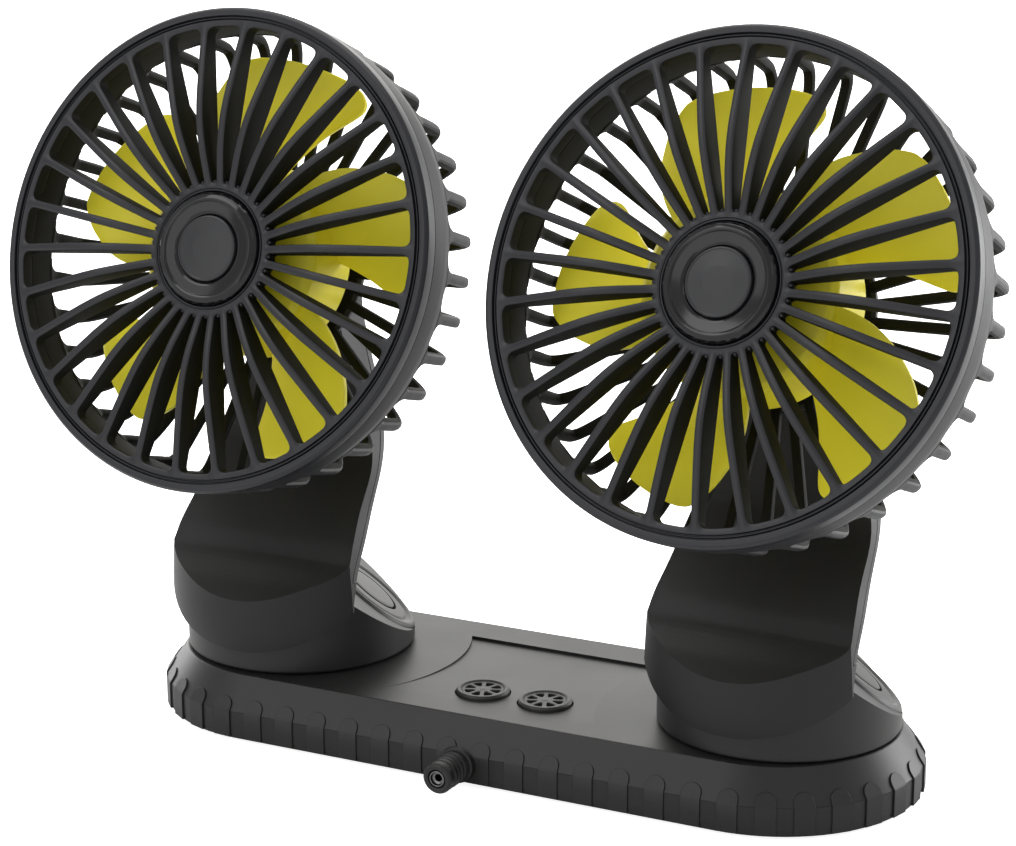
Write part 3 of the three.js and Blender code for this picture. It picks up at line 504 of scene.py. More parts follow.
def turretPlace(side):
    rest = poseOf[side]
    stand = Matrix.Translation((rest["sign"] * layout["turretSpacing"] / 2, 0, 0))
    return stand @ Matrix.Rotation(math.radians(rest["yaw"]), 4, "Z")


def headPlace(side):
    pin = Matrix.Translation((0, layout["pivotSetback"], heightAt(1)))
    return turretPlace(side) @ pin @ Matrix.Rotation(math.radians(-poseOf[side]["tilt"]), 4, "X")


def pinBore():
    # cuts the hole for the tilt pin, along X through the origin
    bore = rod(hinge["bore"], -hinge["boreReach"], hinge["boreReach"], 48)
    return turnedBy(bore, Matrix.Rotation(math.radians(90), 4, "Y"))


# The base: its sizes, the tabs round its band, and the two buttons.
base = {"length": 223.0, "depth": 81.0, "recess": 0.5, "bandTop": 8.7, "foot": 0.8, "shoulderInset": 6.4,
    "wall": 2.2, "floor": 1.4, "topFillet": 0.7, "footFillet": 0.7, "partingGap": 0.06, "edge": 0.3,
    "panelRadius": 48.6, "panelBack": 22.3, "panelFront": -25.0, "panelDepth": 0.75, "panelSteps": 24,
    "buttonHole": 7.65, "padSeat": {"length": 196.6, "depth": 58.6}, "padSeatDepth": 0.8,
    "screwSpot": (48.4, 28.6), "screwHole": 2.8}
tabLook = {"count": 54, "width": 5.4, "proud": 0.41, "sunk": 0.4, "archRise": 4.1, "foot": 1.3, "phase": 5.9,
    "bevel": 0.1, "columns": 12}
buttonLook = {"spacing": 18.7, "offset": 3.1, "forward": 16.5, "rise": 1.1, "sunk": 0.35, "petals": 8,
    "body": [(0, 0.8, 0), (5.8, 0.8, 0), (5.8, -0.02, 0.1), (6.2, -0.35, 0.2), (6.9, -0.35, 0.3),
        (7.3, 0.2, 0.25), (7.3, 3.4, 0), (8.5, 3.4, 0.2), (8.5, 4.4, 0.2), (1.8, 4.4, 0),
        (1.8, 4.75, 0.1), (0, 4.75, 0)],
    "knob": [(0, -0.12, 0), (1.0, -0.05, 0.2), (1.05, 0.85, 0), (0, 0.85, 0)]}
petalLook = {"inner": 0.9, "outer": 5.7, "web": 1.15, "slotIn": 2.3, "slotOut": 5.0, "corner": 0.7,
    "bevel": 0.15, "frontIn": 0.0, "frontOut": 0.05, "backIn": 0.9, "backOut": 0.9, "crown": 0.05,
    "straight": 4}


def stadiumPoint(distance):
    # a point on the base's outline that far along it from the front's left end, going right
    radius = base["depth"] / 2
    straight = base["length"] / 2 - radius
    half = 2 * straight + math.pi * radius
    distance %= 2 * half
    end = 1 if distance < half else -1
    along = distance % half
    if along < 2 * straight:
        return end * (along - straight), -end * radius
    angle = (along - 2 * straight) / radius - math.pi / 2
    return end * (straight + radius * math.cos(angle)), end * radius * math.sin(angle)


def stadiumRing(inset, height, length, depth):
    arcSteps = 40
    straight = (length - depth) / 2
    radius = depth / 2 - inset
    ring = []
    for end in (1, -1):
        for i in range(arcSteps + 1):
            angle = (i / arcSteps - 0.5) * math.pi
            ring.append((end * (straight + radius * math.cos(angle)), end * radius * math.sin(angle), height))
    return ring


def stadiumSolid(name, profile, length=base["length"], depth=base["depth"]):
    # a closed solid whose outline shrinks by each (inset, height, corner radius) of an open profile
    path = roundedPath(profile, 4, closed=False)
    return stack(name, [stadiumRing(inset, height, length, depth) for inset, height in path])


def panelCutter():
    # the shallow panel between the turrets, which runs out to nothing at the front
    top, half = layout["coverTop"], layout["turretSpacing"] / 2
    back, front, steps = base["panelBack"], base["panelFront"], base["panelSteps"]
    low, high = [], []
    for end in (1, -1):
        for i in range(steps + 1):
            y = front + (back - front) * (i if end > 0 else steps - i) / steps
            x = end * (half - math.sqrt(base["panelRadius"] ** 2 - y ** 2))
            low.append((x, y, top - base["panelDepth"] * (y - front) / (back - front) - 0.02))
            high.append((x, y, top + 2))
    return stack("panelCutter", [low, high])


def buttonPlaces():
    return {side: (buttonLook["offset"] + sign * buttonLook["spacing"] / 2, -buttonLook["forward"])
        for side, sign in (("left", -1), ("right", 1))}


def makeBaseCover():
    top, low = layout["coverTop"], base["bandTop"] + base["partingGap"]
    edge, shoulder = base["recess"] + 0.03, base["shoulderInset"]
    cover = stadiumSolid("baseCover", [(edge, low, 0), (edge, low + 0.05, 0),
        (shoulder, top, base["topFillet"]), (shoulder + 3, top, 0)])
    carve(cover, stadiumSolid("hollow", [(base["wall"], low - 1, 0), (base["wall"], low, 0),
        (shoulder + 1, top - base["wall"], 0)]))
    carve(cover, panelCutter())
    for x, y in buttonPlaces().values():
        hole = rod(base["buttonHole"], top - 5, top + 1, 64)
        carve(cover, turnedBy(hole, Matrix.Translation((x, y, 0))))
    soften(cover, base["edge"], 3, 55)
    place(cover, "base", "base", stands=["base_top_cover"], flat=True)


def makeBaseTray():
    foot, high, edge, wall = base["foot"], base["bandTop"], base["recess"], base["wall"]
    tray = stadiumSolid("baseTray", [(12, foot, 0), (edge + 0.3, foot, base["footFillet"]),
        (edge, foot + 2, 0), (edge, high - 1, 0), (edge, high, 0), (wall, high, 0)])
    carve(tray, stadiumSolid("hollow", [(wall, foot + base["floor"], 0), (wall, high + 1, 0)]))
    seatTop = foot + base["padSeatDepth"]
    carve(tray, stadiumSolid("seat", [(0, foot - 1, 0), (0, seatTop, 0)], **base["padSeat"]))
    spotX, spotY = base["screwSpot"]
    for x in (-spotX, spotX):
        for y in (-spotY, spotY):
            carve(tray, turnedBy(rod(base["screwHole"], -2, 3.4, 32), Matrix.Translation((x, y, 0))))
    place(tray, "base", "base", stands=["base_tray"], flat=True)


def makeBaseTabs():
    # raised tabs with arched tops that run up over the shoulder
    half, bevel, columns = tabLook["width"] / 2, tabLook["bevel"], tabLook["columns"]
    band = base["bandTop"] - tabLook["foot"]
    rise = layout["coverTop"] - base["bandTop"]
    run = base["shoulderInset"] - base["recess"]
    slant, lean = math.hypot(rise, run), math.atan2(run, rise)

    def spot(across, along, lift):
        # along runs up the band, then up the shoulder
        if along <= band:
            return across, base["recess"] - lift, tabLook["foot"] + along
        up = along - band
        bend = lean * min(1.0, up / 0.6)
        inset = base["recess"] + up * run / slant - lift * math.cos(bend)
        return across, inset, base["bandTop"] + up * rise / slant + lift * math.sin(bend)

    spring = band + tabLook["archRise"] - half
    levels = ((0, -tabLook["sunk"]), (0, tabLook["proud"] - bevel), (bevel, tabLook["proud"]))
    rowHeights = (0.0, band * 0.5, band, band + 0.3, band + 0.7, None)
    verts, faces = [], []
    for shrink, lift in levels:
        for i in range(columns + 1):
            t = math.pi * i / columns
            across = -(half - shrink) * math.cos(t)
            top = spring + (half - shrink) * math.sin(t)
            for row in rowHeights:
                along = top if row is None else min(row, top) + (shrink if row == 0.0 else 0)
                verts.append(spot(across, along, lift))
    rows = len(rowHeights)

    def at(level, i, r):
        return (level * (columns + 1) + i) * rows + r

    for level in (0, 2):
        for i in range(columns):
            for r in range(rows - 1):
                faces.append([at(level, i + a, r + b) for a, b in quad])
    rim = [(0, r) for r in range(rows)] + [(i, rows - 1) for i in range(1, columns + 1)]
    rim += [(columns, r) for r in range(rows - 2, -1, -1)] + [(i, 0) for i in range(columns - 1, 0, -1)]
    for level in (0, 1):
        for k, (i, r) in enumerate(rim):
            j, s = rim[(k + 1) % len(rim)]
            faces.append((at(level, i, r), at(level, j, s), at(level + 1, j, s), at(level + 1, i, r)))
    tab = meshPiece("baseTabs", verts, faces)
    path = tabRoute()
    repeatAlong(tab, path, tabLook["count"], "base")
    bpy.data.objects.remove(path)
    place(tab, "base", "base", smooth=30)


def tabRoute():
    # the closed curve that the tabs follow
    perimeter = 2 * (base["length"] - base["depth"]) + math.pi * base["depth"]
    steps = tabLook["count"] * 8
    route = bpy.data.curves.new("tabRoute", "CURVE")
    route.dimensions = "3D"
    line = route.splines.new("POLY")
    line.points.add(steps - 1)
    for i in range(steps):
        x, y = stadiumPoint(tabLook["phase"] + perimeter * i / steps)
        line.points[i].co = (x, y, 0, 1)
    line.use_cyclic_u = True
    return newObject("tabRoute", route)


def tableValue(table, at):
    # a value read between the rows of a table of (place, value)
    if at <= table[0][0] or at >= table[-1][0]:
        return 0.0
    for (low, a), (high, b) in zip(table, table[1:]):
        if at <= high:
            return a + (b - a) * (at - low) / (high - low)


def slotOutline(count, look):
    # half of one slot's edge, from the middle of its outer end to its inner end, and for each point
    # the place on the sector's own border that the plate's face runs out to, as (radius, angle)
    alpha = math.pi / count
    inner, outer, corner = look["inner"], look["outer"], look["corner"]
    web, slotIn, slotOut = look["web"] / 2, look["slotIn"], look["slotOut"]
    bends, arcs, straight = 6, 4, look["straight"]

    def onLine(t, off):
        return t * math.cos(alpha) + off * math.sin(alpha), t * math.sin(alpha) - off * math.cos(alpha)

    def bendPoint(ends, t):
        return tuple(p * (1 - t) ** 2 + q * 2 * t * (1 - t) + r * t * t for p, q, r in zip(*ends))

    reach = math.sqrt(slotOut ** 2 - web ** 2)
    outerCorner = onLine(reach, web)
    arcEnd = math.atan2(outerCorner[1], outerCorner[0]) - corner / slotOut
    reachIn = (slotIn - web * math.sin(alpha)) / math.cos(alpha)
    innerCorner = onLine(reachIn, web)
    start, end = reach - corner, reachIn + max(innerCorner[1] * 1.3, 0.2)
    outline, partner = [], []
    for i in range(arcs):
        a = arcEnd * i / arcs
        outline.append((slotOut * math.cos(a), slotOut * math.sin(a)))
        partner.append((outer, a))
    arcTip = (slotOut * math.cos(arcEnd), slotOut * math.sin(arcEnd))
    for i in range(bends + 1):
        t = i / bends
        outline.append(bendPoint((arcTip, outerCorner, onLine(start, web)), t))
        if t <= 0.5:
            partner.append((outer, arcEnd + (alpha - arcEnd) * t * 2))
        else:
            partner.append((outer + (start - outer) * (t * 2 - 1), alpha))
    for i in range(1, straight):
        t = start + (end - start) * i / straight
        outline.append(onLine(t, web))
        partner.append((t, alpha))
    for i in range(bends + 1):
        t = i / bends
        outline.append(bendPoint((onLine(end, web), innerCorner, (slotIn, 0)), t))
        if t <= 0.5:
            partner.append((end + (inner - end) * t * 2, alpha))
        else:
            partner.append((inner, alpha * (2 - t * 2)))
    return outline, partner


def slotSector(count, look):
    # one sector of a slotted plate: the web's half on each side and the slot between, turned about Y
    inner, outer, bevel, crown = look["inner"], look["outer"], look["bevel"], look["crown"]
    outline, partner = slotOutline(count, look)
    verts, faces = [], []
    rows = 8
    for sign in (1, -1):
        start = len(verts)
        for (px, pz), (radius, angle) in zip(outline, partner):
            bx, bz = radius * math.cos(angle), radius * math.sin(angle)
            gap = Vector((bx - px, bz - pz))
            toward = gap.normalized() * bevel
            share = (math.hypot(px, pz) - inner) / (outer - inner)
            front = look["frontIn"] + (look["frontOut"] - look["frontIn"]) * share
            if "dome" in look:
                front -= tableValue(look["dome"], math.hypot(px, pz))
            back = look["backIn"] + (look["backOut"] - look["backIn"]) * share
            for x, z, depth in (
                    (bx, bz, front - crown),
                    (px + gap.x * 0.5, pz + gap.y * 0.5, front - crown * 0.7),
                    (px + toward.x, pz + toward.y, front),
                    (px + toward.x * 0.3, pz + toward.y * 0.3, front + bevel * 0.3),
                    (px, pz, front + bevel),
                    (px, pz, back - bevel),
                    (px + toward.x, pz + toward.y, back),
                    (bx, bz, back)):
                verts.append((x, depth, z * sign))
        for i in range(len(outline) - 1):
            first = start + i * rows
            for a in range(first, first + rows - 1):
                faces.append((a, a + 1, a + rows + 1, a + rows))
            edge = {partner[i][0], partner[i + 1][0]}
            if edge == {outer} or edge == {inner}:
                faces.append((first, first + rows, first + 2 * rows - 1, first + rows - 1))
    return meshPiece("sector", verts, faces)


def makeButtons():
    height = layout["coverTop"] + buttonLook["rise"] - buttonLook["sunk"]
    lean = Matrix.Rotation(math.radians(-90), 4, "X")
    for side, (x, y) in buttonPlaces().items():
        face = slotSector(buttonLook["petals"], petalLook)
        repeatRound(face, buttonLook["petals"], "button", weld=0.001)
        body = lathe("body", buttonLook["body"], 72)
        knob = lathe("knob", buttonLook["knob"], 32)
        whole = joined(side + "FanButton", [face, body, knob])
        stand = Matrix.Translation((x, y, height)) @ lean
        place(whole, side + "_button", "button", stand, [side + "_fan_button"])


makeBaseCover()
makeBaseTray()
makeBaseTabs()
makeButtons()
print("scene: base made")


# The power inlet. Its profiles start at the base's front face.
inlet = {"offset": -1.5, "height": 6.2, "face": 40.5, "rings": 3, "ringPitch": 1.9,
    "foot": [(2.95, -4, 0), (3.7, -4, 0.2), (3.7, 0.3, 0), (5.1, 0.3, 0.3), (4.9, 1.5, 0.6)],
    "ring": [(3.8, 1.6, 0.2), (3.8, 2.2, 0.2), (4.3, 2.4, 0.3), (4.3, 3.3, 0.3)],
    "tip": [(3.8, 7.25, 0), (2.95, 7.25, 0)],
    "shell": [(2.95, 7.4, 0), (4.2, 7.4, 0.15), (4.2, 8.6, 0.1), (3.8, 8.8, 0.1), (3.8, 9.2, 0.1),
        (4.2, 9.4, 0.1), (4.2, 11.3, 0.8), (3.6, 12.0, 0.3), (2.55, 11.8, 0.1), (2.55, 11.2, 0),
        (2.95, 11.0, 0)],
    "sleeve": [(2.1, 0, 0), (2.5, 0, 0), (2.5, 11.2, 0.1), (2.1, 11.85, 0.15), (1.8, 11.85, 0.1),
        (1.6, 11.0, 0.2), (1.0, 10.8, 0.1), (1.0, 10.4, 0.1), (2.1, 10.2, 0)]}


def makeInlet():
    where = Matrix.Translation((inlet["offset"], 0, inlet["height"])) @ Matrix.Rotation(math.pi, 4, "Z")
    gland = list(inlet["foot"])
    for i in range(inlet["rings"]):
        gland += shifted(inlet["ring"], i * inlet["ringPitch"])
    gland += inlet["tip"]
    for name, profile, steps, slotName, finish, stands in (
            ("inletGland", gland, 64, "black_rubber", "gland", "inlet_gland"),
            ("inletShell", inlet["shell"], 64, "black_plastic", "gland", "inlet_plug_shell"),
            ("inletSleeve", inlet["sleeve"], 48, "screw_steel", "nickel", "inlet_sleeve")):
        piece = lathe(name, shifted(profile, inlet["face"]), steps)
        place(piece, "base", finish, where, [stands])


makeInlet()
print("scene: inlet made")


# The turrets. The neck's tables hold shares of the barrel's radius or half width, and of the pin's rise.
turret = {"radius": 32.2, "foot": 17.9, "top": 66, "footFillet": 0.9, "flatAzimuth": 32, "flatElevation": 50,
    "reach": 30.4, "drop": 9.5, "seamHeight": 5.6, "seamSlope": 0.8, "edge": 0.9, "clearance": 0.3}
cap = {"radius": 16.7, "seatRadius": 17, "seatDepth": 2, "rimWidth": 2.2, "rimRise": 0.75, "dishDepth": 0.35,
    "slotRadius": 8.4, "slotWidth": 0.8, "slotDepth": 0.9, "discRise": 0.7, "thickness": 1.7}
neck = {"barrelRadius": 36.4, "halfWidth": 30, "edge": 0.7, "earRadius": 7.2, "earInner": 7.4,
    "earOuter": 12.4, "forkDrop": 8.4, "coverGap": 0.3, "coverThickness": 2.6, "coverTopShare": 0.84,
    "coverFootShare": 0.25, "coverEdge": 0.5,
    "front": [(-1.04, 0.195), (-0.85, 0.245), (-0.62, 0.29), (-0.5, 0.35), (-0.33, 0.42), (-0.055, 0.53),
        (0.05, 0.64), (0.072, 0.768), (0.06, 0.9)],
    "rear": [(0.43, 0.9), (0.412, 0.78), (0.335, 0.663), (0.21, 0.577), (0.066, 0.505), (-0.124, 0.42),
        (-0.302, 0.348), (-0.464, 0.276), (-0.563, 0.195)],
    "width": [(1, 0), (0.95, 0.29), (0.883, 0.42), (0.833, 0.53), (0.7, 0.645), (0.55, 0.76), (0.45, 0.86)],
    "barrel": [(0.89, 0.01), (0.945, 0.05), (0.978, 0.095), (0.99, 0.145), (0.989, 0.205), (0.982, 0.28),
        (0.976, 0.38), (0.975, 1.1)]}


def neckLine(label):
    return smoothLine([(y * neck["barrelRadius"], heightAt(z)) for y, z in neck[label]])


def placeOnTurret(piece, side, node, finish):
    place(piece, side + "_turret", finish, turretPlace(side), [side + node], 30, True)


def capPlace(sign):
    azimuth, elevation = math.radians(turret["flatAzimuth"]), math.radians(turret["flatElevation"])
    axis = Vector((sign * math.cos(azimuth) * math.cos(elevation), math.sin(azimuth) * math.cos(elevation),
            math.sin(elevation)))
    turn = Vector((0, 0, 1)).rotation_difference(axis).to_matrix().to_4x4()
    foot = Vector((0, 0, layout["coverTop"] - turret["drop"])) + axis * turret["reach"]
    return Matrix.Translation(foot) @ turn


def seamSpace(gap):
    # everything above the slanted seam between drum and neck
    low = layout["coverTop"] + turret["seamHeight"] + gap
    radius, slope, high = neck["barrelRadius"], turret["seamSlope"], 190
    front, rear = -radius - 6, radius + 6
    outline = [(front, low - slope * 6), (rear, low + slope * (rear + radius)), (rear, high), (front, high)]
    return prism("seamSpace", outline, -45, 45)


def makeDrum(side):
    radius, foot, top = turret["radius"], turret["foot"], turret["top"]
    profile = [(0, foot, 0), (radius, foot, turret["footFillet"]), (radius, top, 0), (0, top, 0)]
    drum = lathe("drum", profile, 128, "z")
    for sign in (-1, 1):
        carve(drum, turnedBy(box("over", (-90, -90, 0), (90, 90, 90)), capPlace(sign)))
    clear = [(y + turret["clearance"], z - turret["clearance"]) for y, z in neckLine("rear")]
    carve(drum, prism("clear", [(-90, 130), (clear[0][0], 130)] + clear + [(-90, clear[-1][1])], -45, 45))
    gap = seamSpace(-0.15)
    carve(gap, box("front", (-90, -90, 0), (90, clear[-1][0] - 0.1, 190)), "INTERSECT")
    carve(drum, gap)
    soften(drum, turret["edge"], 4, 30)
    for sign in (-1, 1):
        carve(drum, turnedBy(rod(cap["seatRadius"], -cap["seatDepth"], 3, 96), capPlace(sign)))
    drum.name = side + "TurretDrum"
    placeOnTurret(drum, side, "_turret_drum", "turret")


def makeCaps(side):
    outerSign = poseOf[side]["sign"]
    rim, rise, disc = cap["radius"], cap["rimRise"], cap["discRise"]
    slot, dish, foot = cap["slotRadius"], -cap["dishDepth"], -cap["thickness"]
    slotRim, slotFloor, rimIn = slot + cap["slotWidth"], dish - cap["slotDepth"], rim - cap["rimWidth"]
    profile = [(0, foot, 0), (rim, foot, 0), (rim, rise - 0.9, 0.8), (rim - 1.1, rise, 1.1),
        (rimIn, rise - 0.2, 0.8), (rimIn - 1.2, dish + 0.3, 1.2), ((rim + slot) / 2, dish + 0.75, 3.0),
        (slotRim, dish + 0.85, 0.15), (slotRim, slotFloor, 0.1), (slot, slotFloor, 0.1),
        (slot, disc - 0.15, 0.3), (slot - 1.2, disc, 1.0), (0, disc + 0.1, 0)]
    for label, sign in (("outer", outerSign), ("inner", -outerSign)):
        piece = lathe(side + "TurretCap" + label.capitalize(), profile, 96, "z", 6)
        place(piece, side + "_turret", "cap", turretPlace(side) @ capPlace(sign),
            [side + "_turret_cap_" + label], 50)


def neckBody(rear):
    front = neckLine("front")
    pinY, pinZ, ear = layout["pivotSetback"], heightAt(1), neck["earRadius"]
    foot = layout["coverTop"] - 2
    crown = [(pinY + ear * math.cos(math.radians(a)), pinZ + ear * math.sin(math.radians(a)))
        for a in range(190, -11, -10)]
    outline = [(front[0][0] - 4, foot), (front[0][0] - 4, front[0][1] - 2)] + front + crown + rear
    body = prism("neck", outline + [(rear[-1][0], foot)], -45, 45)
    shares = neck["barrel"]
    wall = [(r * neck["barrelRadius"], z, 0) for r, z in smoothLine([(r, heightAt(z)) for r, z in shares], 4)]
    barrel = [(0, heightAt(shares[0][1]), 0)] + wall + [(0, heightAt(1.1), 0)]
    carve(body, lathe("barrel", barrel, 144, "z"), "INTERSECT")
    right = [(x * neck["halfWidth"], heightAt(z)) for x, z in neck["width"]]
    right = smoothLine(right + [(neck["earOuter"], heightAt(0.93)), (neck["earOuter"], pinZ + 12)], 5)
    carve(body, prism("taper", right + [(-x, z) for x, z in reversed(right)], -90, 90, "y"), "INTERSECT")
    carve(body, seamSpace(0.15), "INTERSECT")
    return body


def makeNeck(side):
    rear = neckLine("rear")
    body = neckBody(rear)
    pinZ = heightAt(1)
    topZ, footZ = heightAt(neck["coverTopShare"]), heightAt(neck["coverFootShare"])
    line = [(y - neck["coverThickness"], z) for y, z in rear if footZ < z < topZ]

    def behind(gap):
        moved = [(y + gap, z) for y, z in line]
        outline = [(moved[0][0], topZ - gap)] + moved + [(moved[-1][0], footZ + gap)]
        return prism("behind", outline + [(60, footZ + gap), (60, topZ - gap)], -45, 45)

    cover = newObject(side + "NeckCover", body.data.copy())
    carve(cover, behind(neck["coverGap"]), "INTERSECT")
    soften(cover, neck["coverEdge"])
    placeOnTurret(cover, side, "_neck_cover", "turret")
    carve(body, behind(0.0))
    ear = neck["earInner"]
    carve(body, box("fork", (-ear, -60, pinZ - neck["forkDrop"]), (ear, 60, pinZ + 30)))
    carve(body, turnedBy(pinBore(), Matrix.Translation((0, layout["pivotSetback"], pinZ))))
    soften(body, neck["edge"])
    body.name = side + "NeckShell"
    # the neck shell takes the darker neck black, painted shade under the heads
    placeOnTurret(body, side, "_neck_shell", "neck")


for side in poseOf:
    makeDrum(side)
    makeCaps(side)
    makeNeck(side)
print("scene: turrets made")


# The fan heads. Profiles are (radius, depth behind the front ring, corner radius).
headLook = {"pinToFront": 54.0}
grilleLook = {"spokes": 30, "inner": 16.4, "outer": 60.4, "web": 2.1, "slotIn": 17.5, "slotOut": 58.9,
    "corner": 2.2, "bevel": 0.32, "frontIn": 0.1, "frontOut": 0.35, "backIn": 4.7, "backOut": 4.4,
    "crown": 0.14, "straight": 20,
    "dome": [(17.6, 0.0), (21.0, 1.0), (25.5, 2.35), (29.5, 3.15), (33.0, 3.6), (36.5, 3.6),
        (40.0, 3.3), (44.0, 2.7), (50.0, 1.7), (55.0, 0.75), (58.6, 0.05)],
    "ring": [(59.3, 3.0, 0.2), (60.3, 0.9, 0.1), (60.5, 1.3, 0.1), (60.85, 1.3, 0.1), (60.95, 0.5, 0.12),
        (61.2, 0.5, 0.12), (61.25, 1.5, 0.1), (61.65, 1.5, 0.1), (61.7, 0.15, 0.2),
        (63.2, 0.06, 0.5), (64.0, 1.0, 0.9), (64.0, 4.6, 0.12), (59.3, 4.8, 0.1)]}
hubLook = {"beadSpot": (17.75, 1.1),
    "plate": [(0, 3.0, 0), (15.3, 3.0, 0), (15.35, -0.1, 0.12), (15.65, -0.1, 0.12), (15.75, 0.35, 0.1),
        (15.95, 0.35, 0.1), (16.05, 0.0, 0.12), (16.5, 0.05, 0.3), (16.9, 0.7, 0.3),
        (17.0, 5.6, 0.4), (0, 6.6, 0)],
    "bead": [(0, 0.75, 0), (0.4, 0.62, 0), (0.62, 0.3, 0), (0.65, -0.6, 0), (0, -0.6, 0)],
    "lip": [(9.0, 2.7, 0), (14.1, 2.7, 0), (14.1, 2.0, 0), (14.9, 1.6, 0.2), (15.05, 0.4, 0.3),
        (14.85, -0.75, 0.5), (14.2, -1.55, 0.9), (13.1, -1.95, 0.6), (12.5, -1.75, 0.25),
        (12.3, -1.45, 0.3), (9.9, -1.3, 0.2), (9.45, -1.15, 0.15), (9.0, -0.9, 0.1)],
    "disc": [(0, 2.7, 0), (8.7, 2.7, 0), (8.75, -0.9, 0.15), (8.6, -1.5, 0.2), (8.2, -1.62, 0.2),
        (7.9, -1.45, 0.2), (4.0, -1.75, 5.0), (0, -1.85, 0)]}
cageLook = {"ribs": 36, "radius": 63.95, "rearRadius": 63.15, "inner": 59.25, "wallFront": 4.85,
    "wallRear": 14.2, "ribWidth": 2.9, "ribDepth": 3.3, "fillet": 2.9, "filletRun": 3.7, "filletSteps": 7,
    "edge": 1.1, "rear": 38.6, "hubRadius": 26.0}
# each blade's edges: the radius, then the angles of the rear and the front edge
fanLook = {"blades": 5, "root": 26.0, "tip": 54.0, "front": 11.0, "sweep": 16.0, "span": 60.0, "camber": 0.9,
    "thickness": 1.5, "edge": 0.3, "acrosses": 16, "bossFront": 9.5, "bossRear": 29.5,
    "edges": [(25.3, 14.5, 60), (30, 11, 58), (35, 7.5, 55), (40, 4, 51), (44, 1.2, 47), (48, -0.9, 43),
        (50.5, -0.9, 40), (52.3, 0.8, 37.6), (53.4, 3.2, 35.6), (54, 8, 32.5)]}
motorCoverLook = {"gap": 0.3, "depth": 6.7, "radius": 22.0, "topRadius": 13.6, "lug": 6.6, "lugHalf": 6,
    "lugEdge": 0.5, "vents": 12, "ventIn": 15.2, "ventOut": 19.4, "ventHalf": 0.9, "ventRound": 0.8}


def deep(depth):
    # the tilt pin is the head's origin
    return depth - headLook["pinToFront"]


def headLathe(name, profile, steps, cornerSteps=4):
    return lathe(name, shifted(profile, deep(0)), steps, cornerSteps=cornerSteps)


def placeOnHead(piece, side, node, finish="cage", smooth=40, body="_head",
        isShadedInside=None):
    place(piece, side + body, finish, headPlace(side), [side + node], smooth, isShadedInside=isShadedInside)


def isSlotWall(face):
    # the drafted walls of the slots, which get the matte inside finish; its darker olive colour is painted
    # shade and a painted reflection of the yellow blades
    radius = math.hypot(face.center.x, face.center.z)
    return abs(face.normal.y) < 0.55 and 17.3 < radius < 59.1


def isCageInside(face):
    # the faces that look towards the blades, which get the inside finish; its darker olive colour is painted
    # shade and a painted reflection of the blades
    radius = math.hypot(face.center.x, face.center.z)
    outward = (face.normal.x * face.center.x + face.normal.z * face.center.z) / max(radius, 0.1)
    return outward < 0.3 and face.normal.y < 0.3


def makeGrille(side):
    spokes = grilleLook["spokes"]
    start = math.pi / spokes - math.radians(poseOf[side]["spokeTurn"])
    face = slotSector(spokes, grilleLook)
    repeatRound(face, spokes, "grille", start, 0.002)
    turnedBy(face, Matrix.Translation((0, deep(0), 0)))
    bead = lathe("bead", hubLook["bead"], 12)
    beadRadius, beadDepth = hubLook["beadSpot"]
    turnedBy(bead, Matrix.Translation((beadRadius, deep(beadDepth), 0)) @ Matrix.Rotation(math.pi, 4, "X"))
    repeatRound(bead, spokes, "grille", start)
    whole = joined(side + "FrontGrille", [face, headLathe("ring", grilleLook["ring"], 180),
            headLathe("hub", hubLook["plate"], 120), bead])
    placeOnHead(whole, side, "_front_grille", "grille", isShadedInside=isSlotWall)
    lip = headLathe(side + "HubRing", hubLook["lip"], 128, 6)
    placeOnHead(lip, side, "_hub_ring", "hub", 50)
    placeOnHead(headLathe(side + "HubDisc", hubLook["disc"], 128, 6), side, "_hub_disc", "disc", 50)


def ribSection(half, reach, edge):
    # a rounded bar's section as (across, inward)
    points = []
    for across, inward, turn in ((half - edge, edge, -90), (half - edge, reach - edge, 0),
                                 (edge - half, reach - edge, 90), (edge - half, edge, 180)):
        for step in (0, 45, 90):
            angle = math.radians(turn + step)
            points.append((across + edge * math.cos(angle), inward + edge * math.sin(angle)))
    return points


def ribStations():
    # along the rib: the radius, the depth, and the section's half width, reach inwards and rounding
    outer, rear, back = cageLook["rearRadius"], cageLook["rear"], cageLook["wallRear"]
    half, thick, edge = cageLook["ribWidth"] / 2, cageLook["ribDepth"], cageLook["edge"]
    fillet, run, steps = cageLook["fillet"], cageLook["filletRun"], cageLook["filletSteps"]
    wall = outer - cageLook["inner"]
    stations = [(outer, back - 0.6, half + fillet, wall, 0.1)]
    for k in range(steps + 1):
        share = k / steps
        turn = math.pi / 2 * (1 - share)
        stations.append((outer, back + run * (1 - math.sin(turn)), half + fillet * (1 - math.cos(turn)),
                wall + (thick - wall) * share, 0.1 + (edge - 0.1) * share))
    bend = smoothLine([(outer, back + run), (outer - 0.4, rear - 15), (outer - 0.65, rear - 12),
            (outer - 1.5, rear - 9.0), (outer - 5.2, rear - 6.4), (48.0, rear - 4.5), (36.0, rear - 2.3),
            (25.0, rear - 0.7)], 4)
    for i, (radius, depth) in enumerate(bend[1:]):
        stations.append((radius, depth, half, thick * (1 - 0.4 * i / len(bend)), min(edge, thick * 0.28)))
    return stations


def makeRib():
    # a rib leaves the wall in two fillets, runs back, and bends in to the hub plate
    stations = ribStations()
    rings = []
    for i, (radius, depth, width, reach, rounding) in enumerate(stations):
        before = Vector(stations[max(i - 1, 0)][:2])
        after = Vector(stations[min(i + 1, len(stations) - 1)][:2])
        along = (after - before).normalized()
        inward = Vector((-along.y, along.x))
        ring = []
        for across, into in ribSection(width, reach, rounding):
            spot = Vector((radius, depth)) + inward * into
            ring.append((math.sqrt(spot.x ** 2 - across ** 2), deep(spot.y), across))
        rings.append(ring)
    return stack("rib", rings)


